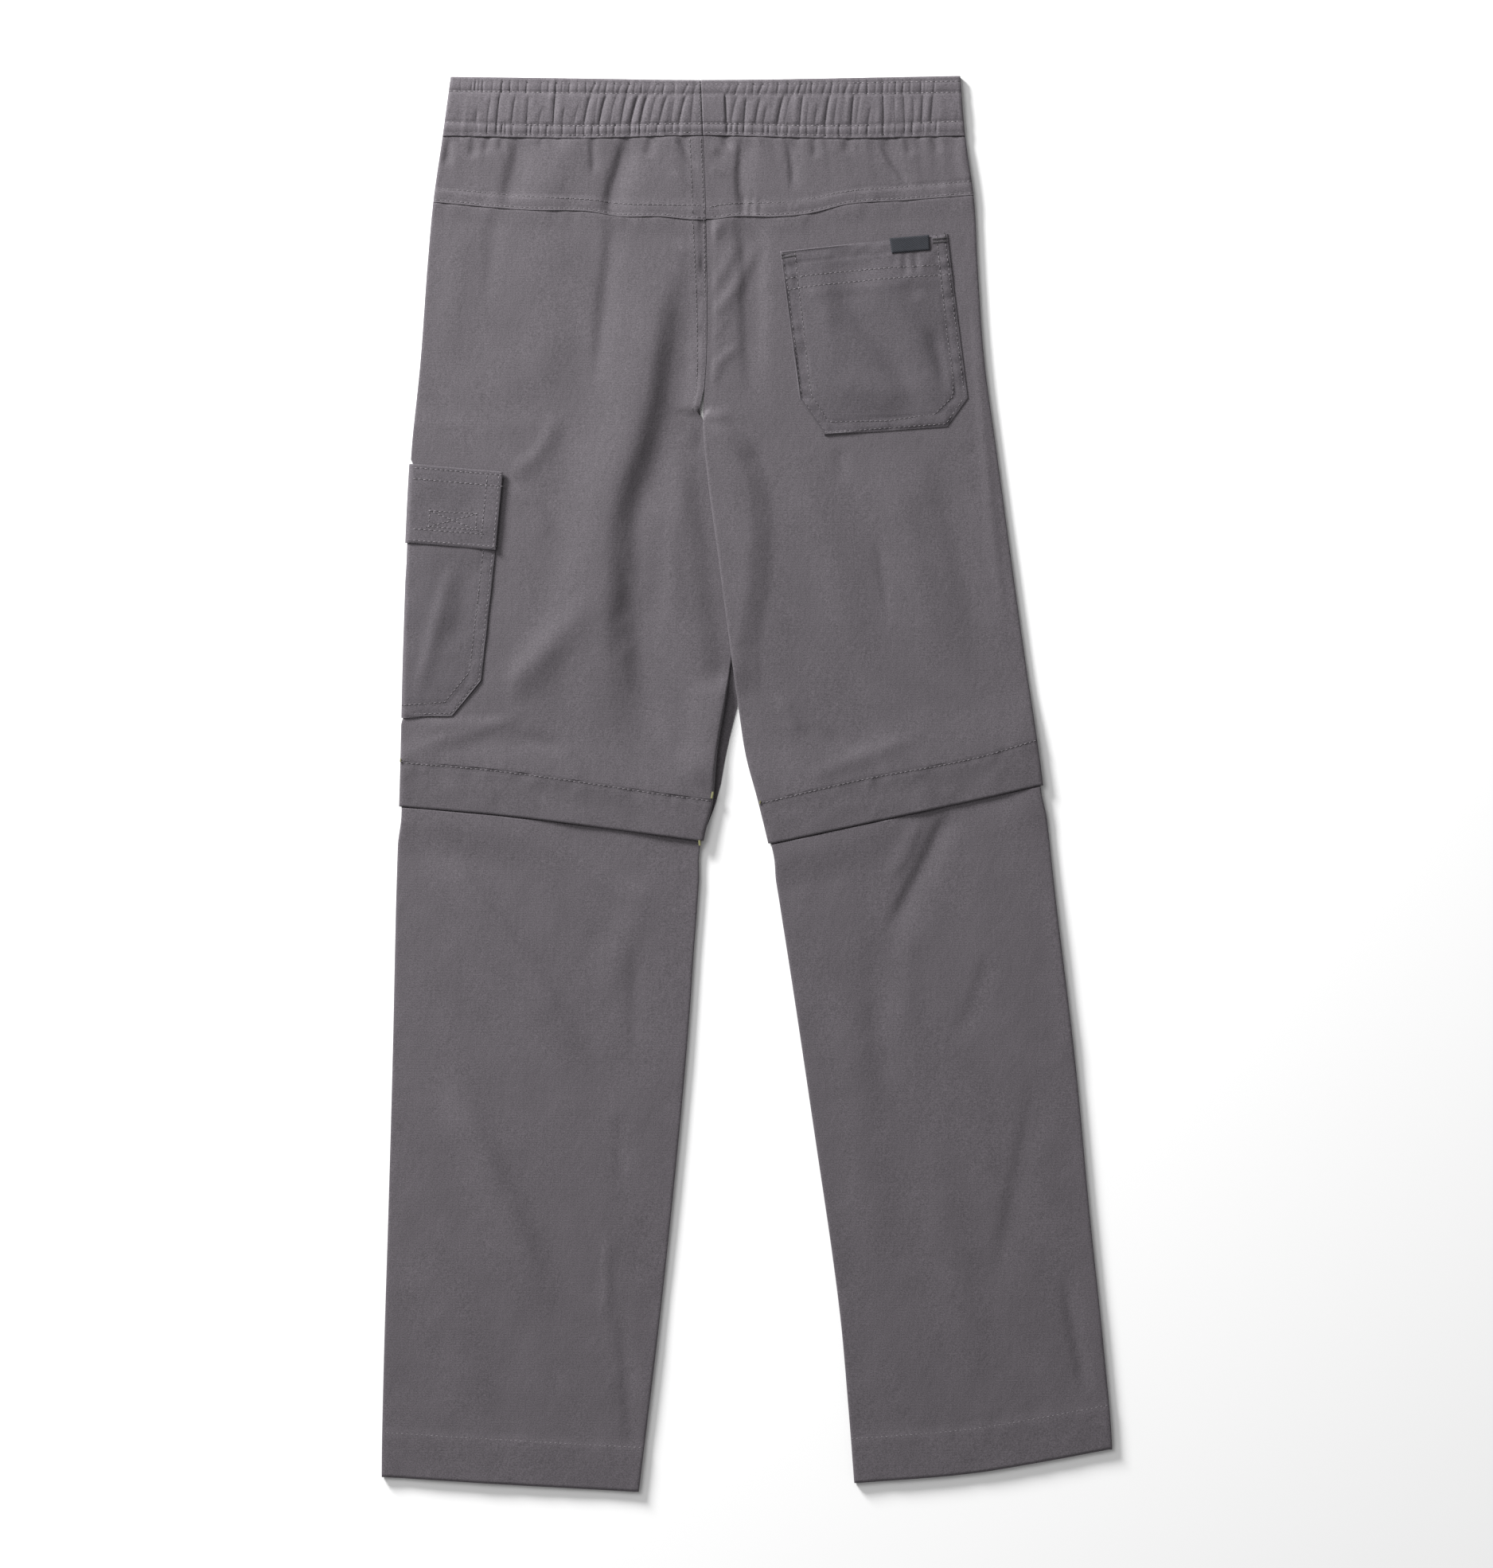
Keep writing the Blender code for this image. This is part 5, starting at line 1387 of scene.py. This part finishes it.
def on(function, side):
    return lambda x, y: function(side, x, y)


def traced(*places):
    # a path given in the photo's pixels
    middleX, middleY = photo["middle"]
    return [((px - middleX) * photo["pixel"], (middleY - py) * photo["pixel"]) for px, py in places]


def buildStitches():
    waistPaths = []
    for number, row in enumerate(waistRows):
        waistPaths.append((alongLine(row, -193 - number * 1.2, -31.0, 60), on(waistTop, "left")))
        waistPaths.append((alongLine(row, -29.5, 136.8 + 0.5 * number, 60), on(waistTop, "right")))
    seamStitches("waistStitches", "waist_cloth", waistPaths, "bright", seed=3)
    zigzag = [(-30.6 + (0.5 if k % 2 else -0.5), 457.0 - k * 1.3) for k in range(21)]
    stitchRows("waistZigzag", "waist_cloth", [(zigzag, on(waistTop, "left"))], "dark", pitch=1.3, length=1.3,
               width=0.4, seed=8, smooth=False)

    lowEdge = shifted(yokeSeam, 1.7)
    yokePaths = [
        (traced((551, 236), (610, 242), (678, 248), (740, 250), (781, 256), (830, 257.5), (883, 258)),
         on(yokeTop, "left")),
        (traced((887, 261), (921, 254.5), (981, 255), (1017, 250), (1066, 239.5), (1105, 236.5), (1151, 234),
                (1217, 227.5)), on(yokeTop, "right")),
        (alongLine(lowEdge, -203, -29, 40), on(yokeTop, "left")),
        (alongLine(lowEdge, -25.5, 146, 40), on(yokeTop, "right")),
    ]
    seamStitches("yokeStitches", "thigh_cloth", yokePaths, "plain", seed=4)

    seat = []
    for away, lean in ((1.3, 0.0), (8.5, 0.03)):
        line = [(float(leftInside(y)) - away, y) for y in np.linspace(421, 375, 14)]
        seat.append((line, on(yokeTop, "left")))
        line = [(float(leftInside(y)) - away + lean * (368 - y), y) for y in np.linspace(368, 246, 30)]
        seat.append((line, on(thighTop, "left")))
    seamStitches("seatStitches", "thigh_cloth", seat, "plain", seed=6, width=0.42)

    inner = ((31.5, 346), (32.5, 335.4), (38.2, 288.6), (40.3, 265.7), (42.4, 253.8), (53.3, 236.6),
             (91.8, 237.2), (123, 241.8), (134.4, 253.2), (134.9, 264.7), (130.8, 293.8), (124, 356.8))
    edge = ((23.3, 346.4), (26.6, 325), (35.9, 252.3), (51.7, 229.7), (130.1, 235.3), (142.3, 252.9),
            (132.2, 334), (129.2, 358.2))
    hemHigh = traced((989, 350), (1020, 345.5), (1060, 341.5), (1120, 336.5), (1178, 333))
    hemLow = traced((992, 364), (1024, 359), (1064, 355), (1124, 349.5), (1193, 345))
    fixings = (((22.6, 345.6), (31.5, 347.4)), ((22.8, 343.6), (31.7, 345.2)),
               ((121.4, 355.8), (130.2, 356.7)), ((121.6, 353.6), (130.4, 354.4)))
    seams, hems, tacks = (
        [(path, backPocketTop) for path in paths] for paths in ((inner, edge), (hemHigh, hemLow), fixings))
    seamStitches("pocketStitches", "pocket_cloth", seams, "plain", seed=7, smooth=False)
    seamStitches("pocketHemStitches", "pocket_cloth", hems, "light", seed=14)
    stitchRows("pocketBartacks", "pocket_cloth", tacks, "dark", pitch=0.55, length=1.5, width=0.4,
               height=0.5, turn=1.35, lift=0.1, seed=9, smooth=False)

    flapRows = []
    upper, lower = cargo["slope"], 0.075
    for start, end, y, slope in ((-216, -160.6, 206.7, upper), (-217, -160.2, 199.4, upper),
                                 (-217, -165.3, 159.2, lower), (-217, -173.4, 166.6, lower)):
        flapRows.append([(x, y - (x + 219) * slope) for x in np.linspace(start, end, 20)])
    flapRows += [((-161.9, 200.0), (-165.3, 156.0)), ((-169.5, 201.0), (-173.2, 162.0))]
    box = (540.5, 642), (599, 646), (598, 666), (539, 662)
    flapRows += [traced(*box, box[0]), traced(box[0], box[2]), traced(box[1], box[3])]
    seams = [(path, cargoFlapTop) for path in flapRows]
    seamStitches("cargoFlapStitches", "pocket_cloth", seams, "light", seed=10, smooth=False)
    pocketRows = (((-165.9, 152), (-169.9, 115.6), (-175.0, 68.4), (-192.9, 46.2), (-220, 45.6)),
                  traced((607.5, 692), (600, 757), (590, 844), (559, 882), (509, 886)))
    seams = [(path, cargoPocketTop) for path in pocketRows]
    seamStitches("cargoPocketStitches", "pocket_cloth", seams, "plain", seed=11, smooth=False)

    knees, hems = [], []
    for side, knee, foot in (("left", (-222, -26), (-235, -70)), ("right", (10, 188), (69, 235))):
        knees.append((alongLine(shifted(kneeSeam[side], -1.15), *knee, 40), on(flapTop, side)))
        hems.append((alongLine(shifted(hem[side], 29.2), *foot, 40), on(lowerTop, side)))
    seamStitches("kneeStitches", "flap_cloth", knees, "light", seed=12, width=0.42)
    seamStitches("hemStitches", "lower_leg_cloth", hems, "light", seed=13)

    # the zips' coils, hidden below the storm flaps
    for side, start, end in (("left", -196.0, -46.0), ("right", 26.0, 164.0)):
        for face, level in (("Front", 2.75), ("Back", 4.05)):
            coil = alongLine(shifted(kneeSeam[side], -6.5), start, end, 30), lambda x, y: level + 0.0 * x
            stitchRows("zipCoil" + face + side.title(), "zip_tape", [coil], "dark", pitch=1.6, length=3.6,
                       width=0.9, height=0.5, turn=math.pi / 2, lift=0.0, wander=0.02, seed=15)


def buildFrontStitches():
    # rows half sunk into the underside, where the front lies on the floor
    rows = [(alongLine(row, -190, 135, 120), waistUnder) for row in waistRows]
    stitchRows("waistFrontStitches", "waist_cloth", rows, "light", lift=0.0, height=0.3, seed=16)
    for name, slot, lines, rise, left, right in (
        ("kneeFrontStitches", "flap_cloth", kneeSeam, -1.8, (-218, -30), (14, 184)),
        ("hemFrontStitches", "lower_leg_cloth", hem, 29.2, (-231, -74), (73, 231)),
    ):
        rows = [(alongLine(shifted(lines[side], rise), *ends, 40), frontUnderside(side))
                for side, ends in (("left", left), ("right", right))]
        stitchRows(name, slot, rows, "light", lift=0.0, height=0.3, seed=17)


def frontUnderside(side):
    return lambda x, y: np.maximum(flatLift(side, x, y), 0)


def buildTapeEnds():
    # the bright folded ends of the zip tapes that show at the knee, for each side
    material = threadCloth("tapeEndWeave", (0.175, 0.172, 0.078), 0.7)
    ends = {"left": [], "right": []}
    for number, (side, px, py, turn, size) in enumerate((
            ("left", 895, 999, 0.2, 1.0), ("left", 879, 1058, -0.1, 1.0), ("left", 503.4, 955, 0.1, 0.5),
            ("right", 955, 1008, 0.2, 0.5))):
        (x0, y0), = traced((px, py))
        u, v = np.meshgrid(np.linspace(-0.7, 0.7, 5) * size, np.linspace(2.2, -2.2, 9) * size)
        x = x0 + u * math.cos(turn) + v * math.sin(turn)
        y = y0 + v * math.cos(turn) - u * math.sin(turn)
        z = 5.9 + 0.25 * np.cos(u * 2)
        ends[side].append(clothShell("tapeEnd" + str(number), grid(x, y, z + 0.5), grid(x, y, z), grid(u, v),
                                     material, "zip_tape"))
    return ends


def finishSliders():
    material = sliderMetal()
    for side in ("left", "right"):
        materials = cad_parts["zip_slider_" + side].data.materials
        materials.clear()
        materials.append(material)


def buildRoom():
    settings = {
        "lens": 100.0,
        "sensor": 36.0,
        "frameHeight": 1.0244,
        "aimHeight": 0.005,
        "cameraX": -0.00026,
        # each light: its place, the size of its disk and its power
        "lights": {
            "keyLight": ((-1.72, 1.98, 1.02), 0.85, 172.0),
            "softLight": ((-1.3, 1.1, 2.6), 1.6, 30.0),
        },
        "world": 0.30,
        "floor": 0.94,
        "floorHalf": 6.0,
        "floorZ": -0.0003,
    }
    half, low = settings["floorHalf"], settings["floorZ"]
    floorMesh = bpy.data.meshes.new("floor")
    corners = [(x * half, y * half, low) for x, y in ((-1, -1), (1, -1), (1, 1), (-1, 1))]
    floorMesh.from_pydata(corners, [], [(0, 1, 2, 3)])
    material, _, shader = newMaterial("floorPaper", 0.9)
    wire(shader, **{"Base Color": (*[settings["floor"]] * 3, 1), "Specular IOR Level": 0.1})
    floorMesh.materials.append(material)
    addObject("floor", floorMesh)

    scene = bpy.context.scene
    scene.world = bpy.data.worlds.new("studio")
    scene.world.use_nodes = True
    wire(scene.world.node_tree.nodes["Background"], Color=(1, 1, 1, 1), Strength=settings["world"])
    for name, (location, size, power) in settings["lights"].items():
        light = bpy.data.lights.new(name, "AREA")
        light.shape, light.size, light.energy = "DISK", size, power
        lamp = addObject(name, light)
        lamp.location = location
        lamp.rotation_euler = (-lamp.location).to_track_quat("-Z", "Y").to_euler()

    lens = bpy.data.cameras.new("camera")
    lens.lens, lens.sensor_fit, lens.sensor_height = settings["lens"], "VERTICAL", settings["sensor"]
    lens.clip_start, lens.clip_end = 0.05, 50.0
    high = settings["aimHeight"] + settings["frameHeight"] * settings["lens"] / settings["sensor"]
    scene.camera = addObject("camera", lens)
    scene.camera.location = (settings["cameraX"], 0.0, high)
    scene.view_settings.view_transform = "Standard"


buildWaistband()
print("waistband made")
buildThighs()
print("yokes and thighs made")
buildLowerLegs()
buildKnees()
print("lower legs and knee flaps made")
buildBackPocket()
buildCargo()
print("pockets made")
finishSliders()
buildStitches()
buildFrontStitches()
print("stitches made")
buildRoom()
print("scene ready")
